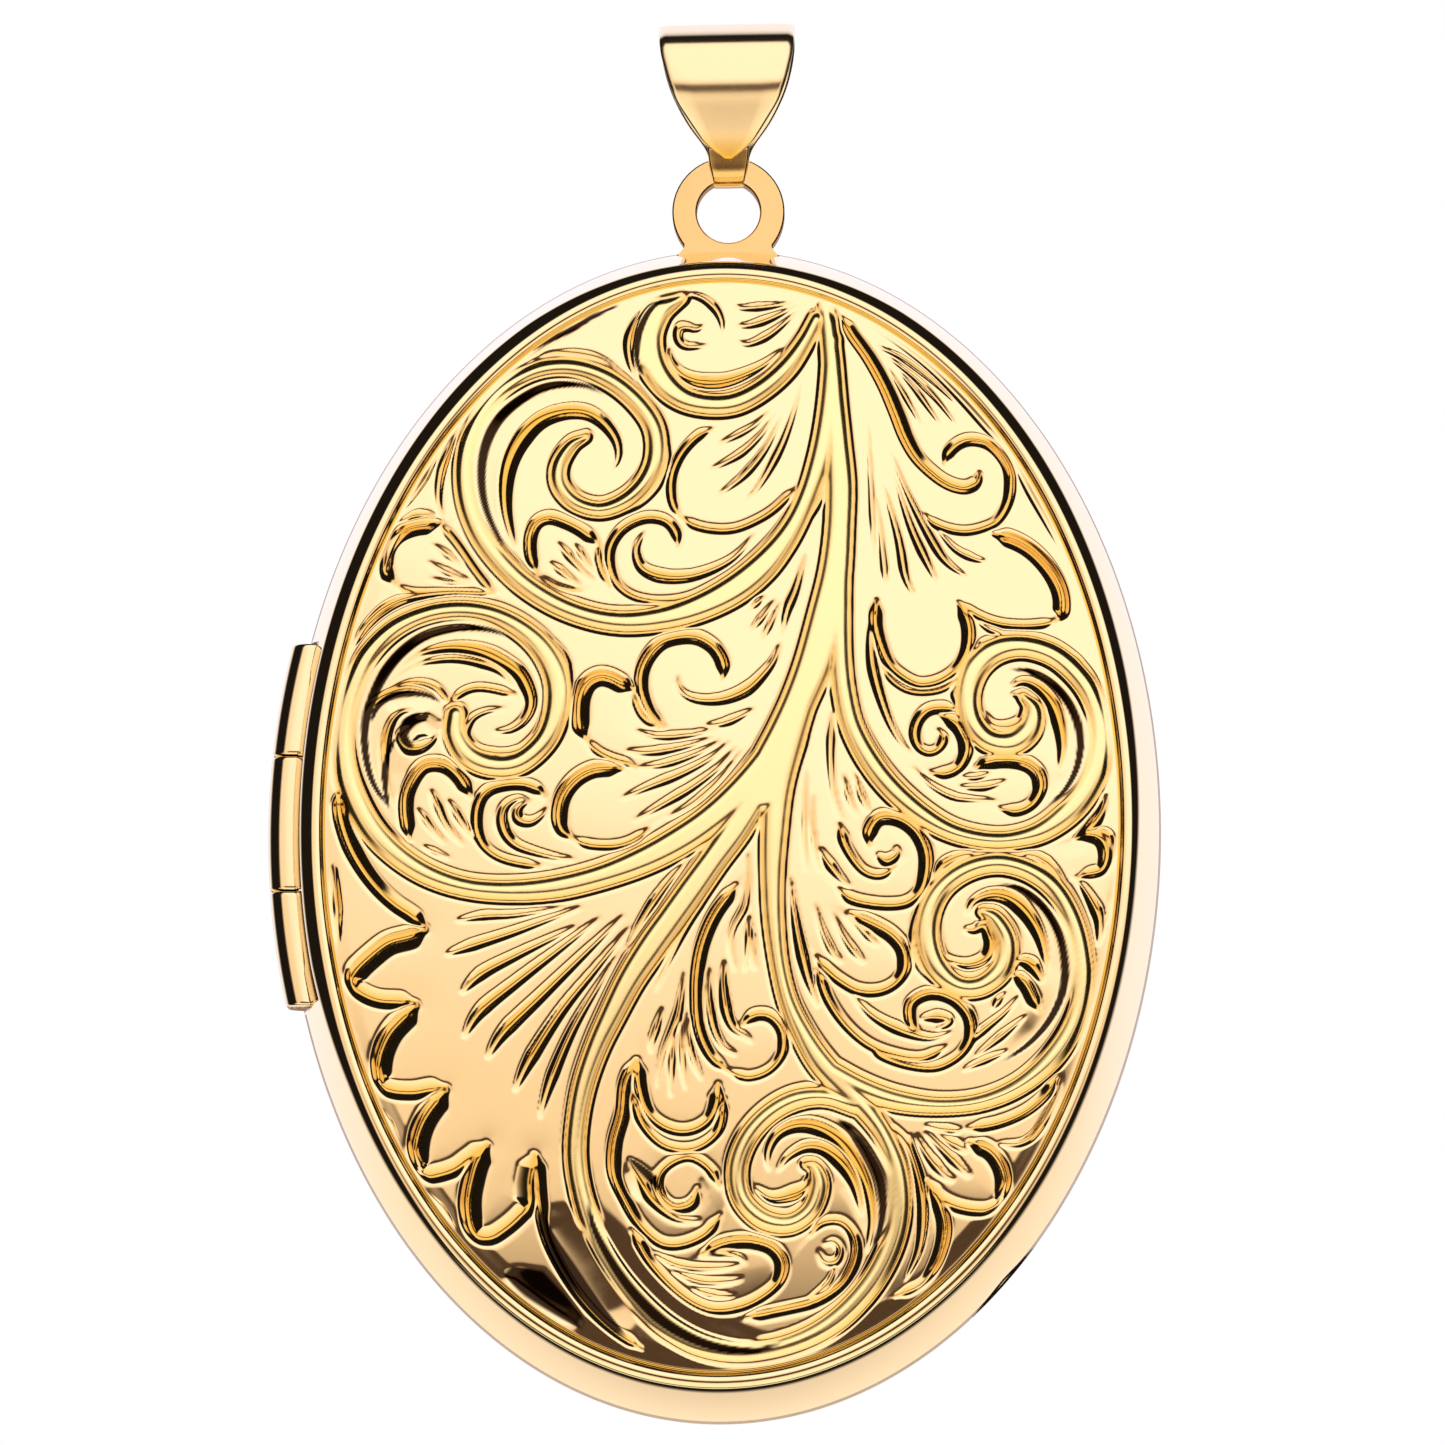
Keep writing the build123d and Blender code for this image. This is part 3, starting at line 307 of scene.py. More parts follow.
# Cuts: (width at its widest, where along it that is from 0 to 1, points). They fade out at both ends.
CUTS = [
    # gouges inside the spirals
    (0.62, 0.45, [(-7.1, 9.2), (-7.42, 10.6), (-7.4, 11.8), (-7.05, 12.8), (-6.4, 13.6), (-5.6, 13.95),
        (-4.8, 13.95), (-4.2, 13.6), (-3.75, 13), (-3.65, 12.4), (-3.85, 11.9)]),
    (0.55, 0.45, [(-10.9, 5.2), (-10.2, 5.6), (-9.3, 5.78), (-8.4, 5.68), (-7.6, 5.35), (-6.95, 4.9),
        (-6.6, 4.3), (-6.52, 3.8), (-6.75, 3.3), (-7.2, 2.98), (-7.75, 2.9)]),
    (0.3, 0.7, [(-11.3, 4.65), (-10.7, 5.05), (-10, 5.3), (-9.2, 5.4), (-8.4, 5.3), (-7.6, 5), (-7, 4.4)]),
    (0.34, 0.6, [(-7.3, 3.7), (-8, 3.62), (-8.5, 3.35), (-8.72, 2.8), (-8.5, 2.4), (-8, 2.15), (-7.3, 2.12),
        (-6.6, 2.4), (-6.1, 3)]),
    (0.4, 0.4, [(-12.25, 3.2), (-11.75, 3.9), (-11, 4.28), (-10.3, 4.28), (-9.6, 3.95)]),
    (0.42, 0.55, [(-10.15, 3.4), (-10.45, 3.15), (-10.8, 2.95), (-10.92, 2.65), (-10.7, 2.35), (-10.3, 2.3),
        (-9.9, 2.5), (-9.6, 2.85)]),
    (0.4, 0.45, [(-10.4, 3.68), (-10.95, 3.6), (-11.3, 3.2), (-11.48, 2.5), (-11.45, 1.7), (-11.3, 1),
        (-11.1, 0.3)]),
    (0.4, 0.35, [(-2.68, 9.85), (-2.95, 9.4), (-3, 9), (-2.8, 8.55), (-2.3, 8.28), (-1.6, 8.2), (-0.9, 8.3),
        (-0.1, 8.62), (0.5, 9.05), (1.1, 9.8)]),
    (0.38, 0.6, [(-1.5, 4.9), (-1.52, 4.5), (-1.3, 4.2), (-0.9, 4.02), (-0.3, 3.98), (0.3, 4.1), (0.9, 4.4),
        (1.4, 4.9), (1.75, 5.4), (1.95, 6)]),
    (0.36, 0.35, [(-6.45, 0.52), (-6.85, 0.65), (-7.3, 0.4), (-7.45, -0.05), (-7.3, -0.6), (-6.9, -1),
        (-6.2, -1.25), (-5.4, -1.42), (-4.9, -1.45)]),
    (0.34, 0.4, [(-6.45, 0.55), (-6.8, 0.4), (-6.95, 0.1), (-6.8, -0.15), (-6.4, -0.2), (-6, 0.1),
        (-5.9, 0.35)]),
    (0.5, 0.4, [(-1.95, 16.25), (-1.9, 15.8), (-1.6, 15.35), (-1.1, 15.08), (-0.5, 15), (0.1, 15.08),
        (0.8, 15.35), (1.4, 15.7), (2, 16.25)]),
    (0.26, 0.6, [(-1.97, 18.05), (-1.35, 18.15), (-0.85, 18), (-0.42, 17.65), (-0.18, 17.2),
        (-0.12, 16.7)]),
    (0.3, 0.4, [(-0.72, 17.05), (-1, 16.92), (-1.35, 17), (-1.62, 16.95), (-1.65, 16.55), (-1.35, 16.28),
        (-0.55, 16.3)]),
    (0.55, 0.45, [(9.75, 4.55), (10.2, 4.75), (10.7, 4.55), (11.15, 4), (11.4, 3.3), (11.5, 2.5),
        (11.4, 1.7)]),
    (0.42, 0.35, [(9.75, 4.25), (10.1, 4.3), (10.3, 3.9), (10.15, 3.45), (9.7, 3.25), (9.2, 3.3),
        (8.9, 3.7)]),
    (0.55, 0.45, [(8.3, -3.2), (8.6, -2.75), (9.2, -2.55), (9.8, -2.7), (10.35, -3.2), (10.75, -3.9),
        (10.95, -4.7), (11, -5.3)]),
    (0.44, 0.3, [(8.2, -3.7), (8.55, -3.75), (8.9, -3.6), (9.1, -4.1), (8.95, -4.6), (8.4, -4.85),
        (7.8, -4.75), (7.4, -4.4)]),
    (0.6, 0.5, [(1.75, -11.9), (1.7, -11.3), (2, -10.7), (2.6, -10.4), (3.3, -10.45), (4, -10.85),
        (4.6, -11.6), (5, -12.5), (5.15, -13.5), (5, -14.6)]),
    (0.5, 0.55, [(2, -11.9), (2.4, -11.4), (3, -11.1), (3.6, -11.2), (4.2, -11.7), (4.6, -12.4),
        (4.85, -13.4)]),
    (0.42, 0.35, [(3, -12), (2.9, -12.4), (2.4, -12.65), (1.8, -12.75), (1.2, -12.4)]),
    (0.34, 0.5, [(0.15, -4.8), (0.1, -5.6), (0.2, -6.5), (0.45, -7.1), (0.9, -7.4), (1.15, -7.6)]),
    (0.3, 0.5, [(-0.35, -5), (-0.4, -6), (-0.25, -7), (0.1, -7.7), (0.65, -8.05)]),
    # crescents along the stems and in the small leaves
    (0.34, 0.5, [(-2.55, 17.9), (-3.08, 17.2), (-3.35, 16.5), (-3.3, 15.8), (-3.05, 15.1)]),
    (0.24, 0.5, [(-7.2, 15.4), (-6.2, 15.98), (-5.2, 16.03), (-4.2, 15.78), (-3.3, 15.1)]),
    (0.34, 0.5, [(-8.75, 14.3), (-9.3, 13.2), (-9.7, 12), (-9.78, 11), (-9.6, 10.2)]),
    (0.28, 0.4, [(-2.45, 14.2), (-2.1, 13.2), (-2.02, 12.3), (-2.3, 11.4), (-2.95, 10.7), (-3.8, 10.3)]),
    (0.24, 0.6, [(-5.95, 6.25), (-5.4, 5.5), (-5.1, 4.4)]),
    (0.34, 0.5, [(-13, 4.9), (-12.5, 6), (-11.8, 6.9), (-11, 7.4), (-10, 7.6), (-8.9, 7.64)]),
    (0.34, 0.4, [(5.15, 7.3), (5, 6.5), (5, 5.7), (5.1, 5), (5.35, 4.1), (5.7, 3.2), (6.1, 2.55),
        (6.5, 2.15)]),
    (0.26, 0.5, [(7.95, 4.75), (7.86, 4.3), (7.95, 3.8)]),
    (0.22, 0.6, [(8.55, 6.85), (9.1, 6.5), (9.7, 6.32)]),
    (0.3, 0.3, [(8.55, 5.75), (9, 6.1), (9.7, 6.28)]),
    (0.26, 0.6, [(8.5, 2.75), (8.95, 2.4), (9.45, 2.25)]),
    (0.3, 0.5, [(10.65, 6.25), (11.3, 6), (11.95, 5.55), (12.4, 5), (12.8, 4.3)]),
    (0.2, 0.5, [(6.4, 1.8), (7.1, 1.15), (7.9, 0.75), (8.8, 0.68), (9.4, 0.62)]),
    (0.38, 0.4, [(7.1, -2.2), (7.5, -1.6), (8.1, -1.25), (8.85, -1.12)]),
    (0.34, 0.5, [(9.9, -1.15), (10.6, -1.22), (11.15, -1.6), (11.7, -2.25)]),
    (0.28, 0.4, [(6.65, -2.9), (6.5, -3.6), (6.5, -4.4), (6.75, -5.1), (7.35, -5.7)]),
    (0.46, 0.5, [(9.85, -4.75), (10.4, -4.85), (10.9, -5.5)]),
    (0.44, 0.5, [(12.3, -0.25), (12.95, -0.45), (13.2, -0.9), (13.1, -1.5)]),
    (0.4, 0.4, [(12, -0.6), (12.55, -0.15), (12.9, 0.4), (13, 1)]),
    (0.38, 0.5, [(12.05, -1.95), (12.45, -2.6), (12.75, -3.3), (12.75, -4.2)]),
    (0.24, 0.5, [(13.3, -1.8), (13.2, -2.6), (13.05, -3.5)]),
    (0.4, 0.4, [(5.25, -1.2), (5.6, -1.45), (5.95, -1.2), (5.9, -0.9)]),
    (0.36, 0.4, [(6.75, -6.75), (7.3, -6.7), (7.7, -6.8), (7.3, -7.1)]),
    (0.34, 0.5, [(4.4, -5.9), (5.2, -6.7), (6.2, -7.2), (7.1, -7.4), (7.8, -7.2)]),
    (0.34, 0.5, [(9.3, -10.9), (10.2, -10.88), (10.9, -10.3), (11.4, -9.3), (11.5, -8.5)]),
    (0.26, 0.4, [(3.35, -14.5), (3.6, -14.9), (4, -14.9), (4.15, -14.5), (3.9, -14.2), (3.5, -14.3)]),
    (0.42, 0.3, [(-3, -11.5), (-2.7, -12.1), (-2.2, -12.9), (-1.4, -13.5), (-0.5, -13.6)]),
    # strips between the rim and the leaves
    (0.34, 0.5, [(-4.35, 17.4), (-5, 17.02), (-5.65, 16.68), (-6.3, 16.33), (-7.1, 15.78), (-7.75, 15.25),
        (-8.35, 14.65)]),
    (0.34, 0.5, [(-9.3, 13.5), (-9.9, 12.5), (-10.5, 11.4), (-11.15, 10.45), (-11.5, 9.9)]),
    (0.22, 0.5, [(-12.05, 8.7), (-12.15, 8.2), (-12.5, 7.3), (-12.8, 6.4)]),
    (0.36, 0.5, [(3.85, 17.6), (5, 17.05), (6.08, 16.35), (7.08, 15.55), (8.03, 14.6), (8.9, 13.65),
        (9.6, 12.95), (10, 12.33), (10.47, 11.3), (11.03, 10.3), (11.6, 9.27), (12.08, 8.17), (12.5, 6.93),
        (12.8, 5.6)]),
    (0.3, 0.5, [(-11.2, 10.05), (-10.75, 10.27), (-10.35, 10.37), (-9.8, 10.35)]),
    (0.46, 0.5, [(-13.1, -1.6), (-13.1, -2.6), (-13.05, -3.6), (-12.95, -4.6)]),
    (0.3, 0.5, [(-12.8, -6), (-12.55, -6.9), (-12.3, -7.8), (-12.1, -8.5)]),
    (0.34, 0.5, [(-11.6, -9.6), (-11.2, -10.3), (-10.7, -11.2)]),
    (0.34, 0.5, [(-9.9, -12.6), (-9.3, -13.3), (-8.8, -13.9)]),
    # rays of the great leaf
    (0.24, 0.25, [(-8.9, -3.55), (-8, -3.4), (-7, -3.35), (-6, -3.2), (-5.2, -3.05)]),
    (0.32, 0.2, [(-9.25, -4.7), (-8.2, -4.35), (-7, -3.95), (-5.8, -3.5), (-4.6, -3.05)]),
    (0.36, 0.2, [(-8.7, -6), (-8, -5.35), (-6.9, -4.75), (-5.6, -4.1), (-4.8, -3.7)]),
    (0.4, 0.2, [(-8.6, -7.5), (-8, -6.6), (-6.8, -5.6), (-5.4, -4.5), (-4, -3.4)]),
    (0.42, 0.2, [(-7.8, -8.2), (-7.2, -7.3), (-6, -6.1), (-4.8, -4.9), (-3.2, -3.3)]),
    (0.4, 0.2, [(-6.85, -9.3), (-6.3, -8.2), (-5.3, -6.6), (-4.2, -5.2), (-3, -3.7)]),
    (0.34, 0.25, [(-6, -10.2), (-5.6, -8.9), (-4.9, -7.2), (-4, -5.6), (-3.4, -4.6)]),
    (0.3, 0.5, [(-3.2, -4.6), (-2.6, -3.5), (-1.8, -2.3), (-1, -1.3)]),
    # rays of the long leaf and of the stem above it
    (0.22, 0.4, [(-3, 2.95), (-2.2, 2.75), (-1.2, 2.8), (0, 3.05)]),
    (0.24, 0.4, [(-3.35, 2.25), (-2.4, 2.2), (-1.3, 2.4), (-0.3, 2.7)]),
    (0.22, 0.4, [(-2.9, 1.65), (-1.9, 1.8), (-0.9, 2.15), (0, 2.6)]),
    (0.26, 0.4, [(-3.4, 0.6), (-2.5, 1), (-1.4, 1.45), (-0.4, 2), (0.3, 2.6)]),
    (0.26, 0.4, [(-2.95, -0.15), (-2, 0.4), (-1, 1), (-0.1, 1.7), (0.5, 2.4)]),
    (0.2, 0.4, [(-1.8, -0.05), (-0.9, 0.5), (0, 1.35), (0.7, 2.3)]),
    (0.24, 0.5, [(-0.6, 3.1), (0.2, 3.25), (1.1, 3.7)]),
    (0.2, 0.5, [(0.9, 7.1), (1.15, 7.35), (1.4, 7.6)]),
    (0.2, 0.4, [(0.9, 6.35), (1.3, 6.8), (1.8, 7.5)]),
    (0.2, 0.4, [(1.3, 6), (1.55, 6.5), (1.95, 7.4)]),
    (0.28, 0.4, [(2, 6.2), (2.2, 7.1), (2.5, 7.9), (2.8, 9.1)]),
    # rays of the heart leaf
    (0.18, 0.4, [(-0.33, 12.8), (0.35, 13.13), (1, 13.52), (1.63, 14.1)]),
    (0.22, 0.4, [(-0.57, 11.93), (0, 12.2), (0.65, 12.6), (1.28, 13.25), (1.72, 13.97)]),
    (0.24, 0.4, [(-0.3, 11.02), (0.2, 11.37), (0.8, 11.9), (1.43, 12.75), (1.97, 13.9)]),
    (0.24, 0.4, [(0.68, 10.87), (1.05, 11.2), (1.5, 11.9), (2, 12.93), (2.37, 14.05), (2.6, 15.1)]),
    # rays of the left leaves
    (0.2, 0.5, [(-10, 9.4), (-9.5, 9.05), (-8.85, 8.55)]),
    (0.2, 0.5, [(-10.15, 8.8), (-9.6, 8.48), (-9, 8.2), (-8.5, 8.1)]),
    (0.14, 0.5, [(-10.1, 8.2), (-9.4, 8.05), (-8.5, 8)]),
    (0.24, 0.3, [(-5.7, 9.45), (-5.2, 8.85), (-4.6, 8.25), (-4.3, 8)]),
    (0.22, 0.3, [(-5.1, 9.4), (-4.8, 8.9), (-4.35, 8.35)]),
    (0.22, 0.3, [(-5.95, 8.75), (-5.4, 8.3), (-4.8, 7.85)]),
    (0.24, 0.3, [(-9.85, 0.95), (-9.6, 0.3), (-9.3, -0.3), (-8.7, -1)]),
    (0.22, 0.3, [(-9.25, 0.6), (-8.95, 0.05), (-8.6, -0.45), (-8.15, -0.95)]),
    (0.2, 0.3, [(-10.3, 0.3), (-9.9, -0.3), (-9.3, -0.95)]),
    (0.14, 0.4, [(-10.1, -1), (-9.6, -1.25), (-9.1, -1.45)]),
    # rays of the big upper-right leaf, and beside the trunk
    (0.18, 0.4, [(5.05, 16.4), (6, 15.95), (7, 15.2), (7.85, 14.4)]),
    (0.18, 0.5, [(5.45, 16.05), (6.4, 15.3), (7.2, 14.5), (7.9, 13.6)]),
    (0.16, 0.5, [(5.5, 15.65), (6, 14.8), (6.4, 14.1), (6.7, 13.55)]),
    (0.16, 0.5, [(5.9, 15.5), (6.5, 14.8), (7, 14.1), (7.35, 13.6)]),
    (0.18, 0.7, [(4.85, 13.9), (5, 11), (5.12, 8.95)]),
    (0.2, 0.8, [(5.17, 11.1), (5.35, 9.5), (5.5, 8)]),
    (0.26, 0.7, [(5.4, 11.5), (5.9, 9.7), (6.15, 8.35), (6.5, 7.6)]),
    (0.26, 0.7, [(5.75, 11.9), (6.4, 9.9), (7.25, 8.1)]),
    (0.26, 0.7, [(5.65, 12.65), (6.2, 11.25), (7.1, 9.5), (7.6, 8.8), (8.3, 8.3)]),
    (0.22, 0.7, [(7.15, 10.1), (7.85, 9.3), (8.55, 8.95), (8.95, 8.9)]),
    (0.3, 0.4, [(3.52, 11.65), (3.27, 11.12), (2.9, 10.4), (2.5, 9.75)]),
    (0.2, 0.5, [(3.7, 11.6), (3.57, 10.8), (3.5, 9.85), (3.42, 8.9)]),
    # long cuts in the leaf right of the trunk
    (0.26, 0.6, [(3.35, 5.9), (3.15, 4.6), (2.85, 3), (2.5, 1.6), (2.25, 0.2)]),
    (0.24, 0.3, [(3.8, 3.9), (3.65, 2.6), (3.75, 1), (4.1, -0.2)]),
    (0.36, 0.6, [(2.35, -2), (2.45, -3), (2.65, -4.2), (2.95, -5.4), (3.35, -6.4)]),
    (0.3, 0.4, [(3.35, -1), (3.6, -1.5), (4, -2), (4.4, -2.35)]),
    (0.16, 0.5, [(2.85, 1.6), (2.8, 0.6), (2.8, -0.6), (2.85, -1.8)]),
    (0.16, 0.5, [(3.1, 0.8), (3.05, -0.2), (3.2, -1.2), (3.4, -1.9)]),
    (0.18, 0.5, [(4.1, 1.5), (4.3, 0.7), (4.55, 0.1)]),
    (0.2, 0.6, [(4.5, 1.6), (4.7, 0.8), (5, 0.2)]),
    (0.22, 0.7, [(3.2, -2.9), (3.4, -3.7), (3.75, -4.5), (4.15, -4.9)]),
    (0.22, 0.7, [(3.8, -3.2), (4.1, -3.9), (4.5, -4.5), (4.9, -4.9)]),
    (0.22, 0.7, [(4.1, -3.2), (4.6, -3.6), (5.1, -4.1), (5.35, -4.3)]),
    # cuts in the lower leaves
    (0.28, 0.4, [(0.55, -1.3), (-0.2, -2.2), (-1, -3.4), (-1.7, -4.8), (-2.15, -5.9)]),
    (0.22, 0.5, [(0.9, -1.1), (0.9, -2.2), (0.8, -3), (0.45, -3.7), (0.35, -4.3), (0.5, -5.2)]),
    (0.24, 0.4, [(0.95, -3.3), (0.95, -4.2), (0.85, -5.2)]),
    (0.16, 0.5, [(1.15, -3.9), (1.1, -4.6), (1.2, -5.2)]),
    (0.26, 0.4, [(-1.2, -5.2), (-1.3, -6), (-1.45, -6.8), (-1.9, -8), (-2.1, -9.2)]),
    (0.22, 0.5, [(-1.5, -6.9), (-1.6, -8.2), (-1.6, -9.5)]),
    (0.22, 0.5, [(-1.3, -6.5), (-1.25, -8), (-1.1, -9.2)]),
    (0.22, 0.5, [(-1.1, -6.6), (-1, -7.8), (-0.55, -8.9)]),
    (0.2, 0.5, [(-2.1, -7), (-2.35, -7.8)]),
    (0.22, 0.5, [(-1.9, -6.4), (-2.2, -7.4), (-2.3, -8)]),
    (0.26, 0.4, [(8, -7.9), (8.9, -7.1), (9.6, -6.5), (10.1, -5.9)]),
    (0.24, 0.5, [(9.2, -6.4), (9.5, -5.95), (9.6, -5.85)]),
    (0.24, 0.5, [(8.6, -8), (9.5, -7.3), (10.3, -6.6)]),
    (0.22, 0.5, [(8.2, -8.45), (9, -8.1), (9.7, -7.8)]),
    (0.2, 0.5, [(8.05, 1.45), (8.6, 1.45), (9.2, 1.65)]),
    (0.24, 0.5, [(8, 1.1), (8.9, 1.12), (9.65, 1.35)]),
    (0.24, 0.4, [(-2.3, -14.6), (-1.2, -15.1), (0, -15.15), (0.9, -15)]),
    (0.24, 0.4, [(-1.6, -15.2), (-0.6, -15.6), (0.3, -15.6), (0.9, -15.5)]),
    (0.2, 0.4, [(-0.9, -15.8), (-0.1, -16.05), (0.7, -16.1)]),
    (0.24, 0.4, [(-0.6, -14.75), (0.1, -14.65), (0.7, -14.75), (1, -15)]),
    (0.24, 0.5, [(3, -16.2), (3.7, -15.7), (4, -15)]),
    # rays of the lower-right leaf
    (0.26, 0.6, [(6.4, -10.6), (6.5, -11.3), (6.75, -12)]),
    (0.3, 0.6, [(6.6, -10.6), (7, -11.3), (7.5, -11.9), (7.95, -12.2)]),
    (0.3, 0.6, [(6.9, -10.5), (7.5, -11.1), (8.1, -11.7), (8.5, -12.05)]),
    (0.28, 0.6, [(7.2, -10.5), (7.8, -10.9), (8.4, -11.2)]),
    (0.24, 0.6, [(6.9, -10.3), (7.5, -10.45), (8.2, -10.5)]),
    (0.4, 0.5, [(5.3, -10), (6.2, -10.8), (6.65, -11.9), (6.85, -13.1), (6.75, -14.4), (6.3, -15.5)]),
    # rays of the top curl
    (0.22, 0.4, [(0.25, 17.78), (0.5, 17.65), (1.3, 17.7), (2.4, 17.85)]),
    (0.24, 0.4, [(0.3, 17), (0.85, 17.05), (1.55, 17.3), (2.5, 17.8)]),
    (0.24, 0.4, [(0.35, 16.45), (0.8, 16.38), (1.55, 16.75), (2.5, 17.6)]),
]

# Steps down to a lower leaf, with painted shade on them: (width of the wall, where it is widest, points
# along its foot), the wall on the left of its direction. Where one runs over a stem, it only paints shade
# on it.
STEPS = [
    # inside the rings
    (0.34, 0.5, [(-7.2, 8.95), (-7.62, 9.65), (-8.02, 10.6), (-8.18, 11.6), (-8.08, 12.65), (-7.65, 13.6),
        (-6.9, 14.32), (-6, 14.78), (-4.9, 14.85), (-4, 14.5)]),
    (0.34, 0.5, [(-11, 0.1), (-11.65, 1), (-11.95, 1.9), (-12.02, 2.9), (-11.85, 3.8), (-11.42, 4.75),
        (-10.8, 5.55), (-10, 6.12), (-9, 6.38), (-8, 6.35), (-7, 6.05)]),
    (0.27, 0.5, [(9.6, 5.15), (10.4, 5.05), (11.15, 4.6), (11.72, 3.85), (12.02, 2.9), (11.95, 1.95),
        (11.55, 1.1), (10.9, 0.45)]),
    (0.27, 0.5, [(9.2, -2.2), (10.05, -2.35), (10.8, -2.95), (11.3, -3.8), (11.5, -4.75), (11.45, -5.7),
        (11.05, -6.65), (10.35, -7.5), (9.4, -8.2)]),
    # below the great leaf, and along the bottom loop
    (1.05, 0.33, [(-7.2, -15.3), (-6.4, -16), (-5.4, -16.65), (-4.4, -17.25)]),
    (0.62, 0.55, [(-2.9, -17.55), (-3.58, -16.75), (-4.2, -15.93), (-4.93, -14.9), (-5.55, -13.97),
        (-6, -13)]),
    (0.36, 0.5, [(2.4, -17.5), (1.2, -17.8), (-0.2, -17.6), (-1.5, -16.97), (-2.6, -16), (-3.45, -14.9),
        (-4.08, -13.75), (-4.35, -12.7)]),
    (0.3, 0.6, [(-3.05, -11.5), (-2.5, -12.05), (-1.95, -12.6)]),
    # the left ring's curl
    (0.42, 0.5, [(-10.4, 2.35), (-10.67, 2.72), (-10.6, 2.98), (-10.38, 3.2), (-10.05, 3.33), (-9.9, 3.6)]),
    (0.25, 0.4, [(-11.9, 3.2), (-11.66, 3.7), (-11.24, 4.02), (-10.58, 4.14), (-9.97, 4.08), (-9.5, 3.84)]),
    (0.22, 0.5, [(-11.22, 0.2), (-11.3, 0.85), (-11.33, 1.55), (-11.25, 2.15), (-11, 2.75)]),
    # beside the top curl and the bottom one
    (0.2, 0.5, [(-6.9, 16), (-6, 16.45), (-5.2, 16.85), (-4.5, 17.3), (-3.6, 17.75)]),
    (0.24, 0.5, [(-2.78, 15.2), (-2.96, 15.76), (-2.94, 16.43), (-2.78, 17.04), (-2.48, 17.6),
        (-2, 17.98)]),
    (0.32, 0.5, [(3.9, -10.1), (4.5, -10.65), (5, -11.4), (5.35, -12.3), (5.42, -13.4), (5.15, -14.6)]),
]


# ---- curves and the chased panel ----
def ease(t):
    t = np.clip(t, 0, 1)
    return t * t * (3 - 2 * t)


def roll(t):
    """Rises from 0 to 1 like a chased wall: nearly straight from its foot, rounded over at the top."""
    return 1 - (1 - np.clip(t, 0, 1)) ** 1.12


def smooth(points, step=0.08):
    """A Catmull-Rom curve through the points, sampled about every step of its length."""
    p = np.array(points, float)
    p = np.vstack([2 * p[0] - p[1], p, 2 * p[-1] - p[-2]])
    out = []
    for a, b, c, d in zip(p[:-3], p[1:-2], p[2:-1], p[3:]):
        n = max(2, int(np.linalg.norm((c - b)[:2]) / step))
        t = np.linspace(0, 1, n, endpoint=False)[:, None]
        square = (2 * a - 5 * b + 4 * c - d) * t**2
        cube = (3 * b - a - 3 * c + d) * t**3
        out.append(0.5 * (2 * b + (c - a) * t + square + cube))
    return np.vstack(out + [p[-2:-1]])


def soften(grid):
    """A light blur over a grid, so that no groove's foot is sharper than the grid can hold."""
    for axis in (0, 1):
        ahead = np.roll(grid, -1, axis)
        behind = np.roll(grid, 1, axis)
        grid = 0.25 * ahead + 0.5 * grid + 0.25 * behind
    return grid


class Field:
    """The panel's points, sorted into square cells so that those near a curve are found quickly."""

    REACH = 1.3  # mm from a curve that its marks can cover
    CELL = 0.5

    def __init__(self, x, z):
        self.x, self.z = x, z
        home = np.floor(np.stack([x, z], 1) / self.CELL).astype(int)
        order = np.lexsort((home[:, 1], home[:, 0]))
        starts = np.flatnonzero(np.any(np.diff(home[order], axis=0), axis=1)) + 1
        self.groups = {tuple(home[g[0]]): g for g in np.split(order, starts)}

    def around(self, curve):
        """The points in the cells about a curve."""
        wide = int(np.ceil(self.REACH / self.CELL))
        span = range(-wide, wide + 1)
        cells = {tuple(c) for c in np.floor(curve[:, :2] / self.CELL).astype(int)}
        cells = {(i + a, j + b) for i, j in cells for a in span for b in span}
        return np.concatenate([self.groups[c] for c in cells if c in self.groups])

    def near(self, points):
        """For the points in reach of the smooth curve through some knots: which they are, the distance,
        the side (1 on the left), how far the nearest spot lies below, the share of the way along, the
        curve's own width there and the mm to its nearer end."""
        curve = smooth(points)
        steps = np.hypot(*np.diff(curve[:, :2], axis=0).T)
        along = np.concatenate([[0], np.cumsum(steps)])
        length = along[-1]
        along /= length
        ids = self.around(curve)
        best = np.full(len(ids), 1e9)
        side = np.ones(len(ids))
        climb, share, width = np.zeros((3, len(ids)))
        px, pz = self.x[ids], self.z[ids]
        for i in range(len(curve) - 1):
            a, b = curve[i], curve[i + 1]
            close = np.flatnonzero(np.abs(px - a[0]) + np.abs(pz - a[1]) < 1.6 * self.REACH)
            if not len(close):
                continue
            dx, dz = b[0] - a[0], b[1] - a[1]
            size = dx * dx + dz * dz + 1e-12
            t = np.clip(((px[close] - a[0]) * dx + (pz[close] - a[1]) * dz) / size, 0, 1)
            ex, ez = px[close] - a[0] - t * dx, pz[close] - a[1] - t * dz
            d = np.hypot(ex, ez)
            better = d < best[close]
            n = close[better]
            best[n] = d[better]
            side[n] = np.where(dx * ez[better] - dz * ex[better] >= 0, 1, -1)
            climb[n] = ez[better] / (d[better] + 1e-6)
            share[n] = along[i] + t[better] * (along[i + 1] - along[i])
            if curve.shape[1] > 2:
                width[n] = a[2] + t[better] * (b[2] - a[2])
        keep = best < self.REACH
        end = length * np.minimum(share, 1 - share)
        return [values[keep] for values in (ids, best, side, climb, share, width, end)]


def sink(height, ids, fall):
    height[ids] = np.minimum(height[ids], -fall)


def spread(mask, ids, amount):
    mask[ids] = np.maximum(mask[ids], amount)


def taper(share, peak):
    """1 at the peak of a cut, falling evenly to 0 at both of its ends."""
    return np.where(share < peak, share / peak, (1 - share) / (1 - peak))


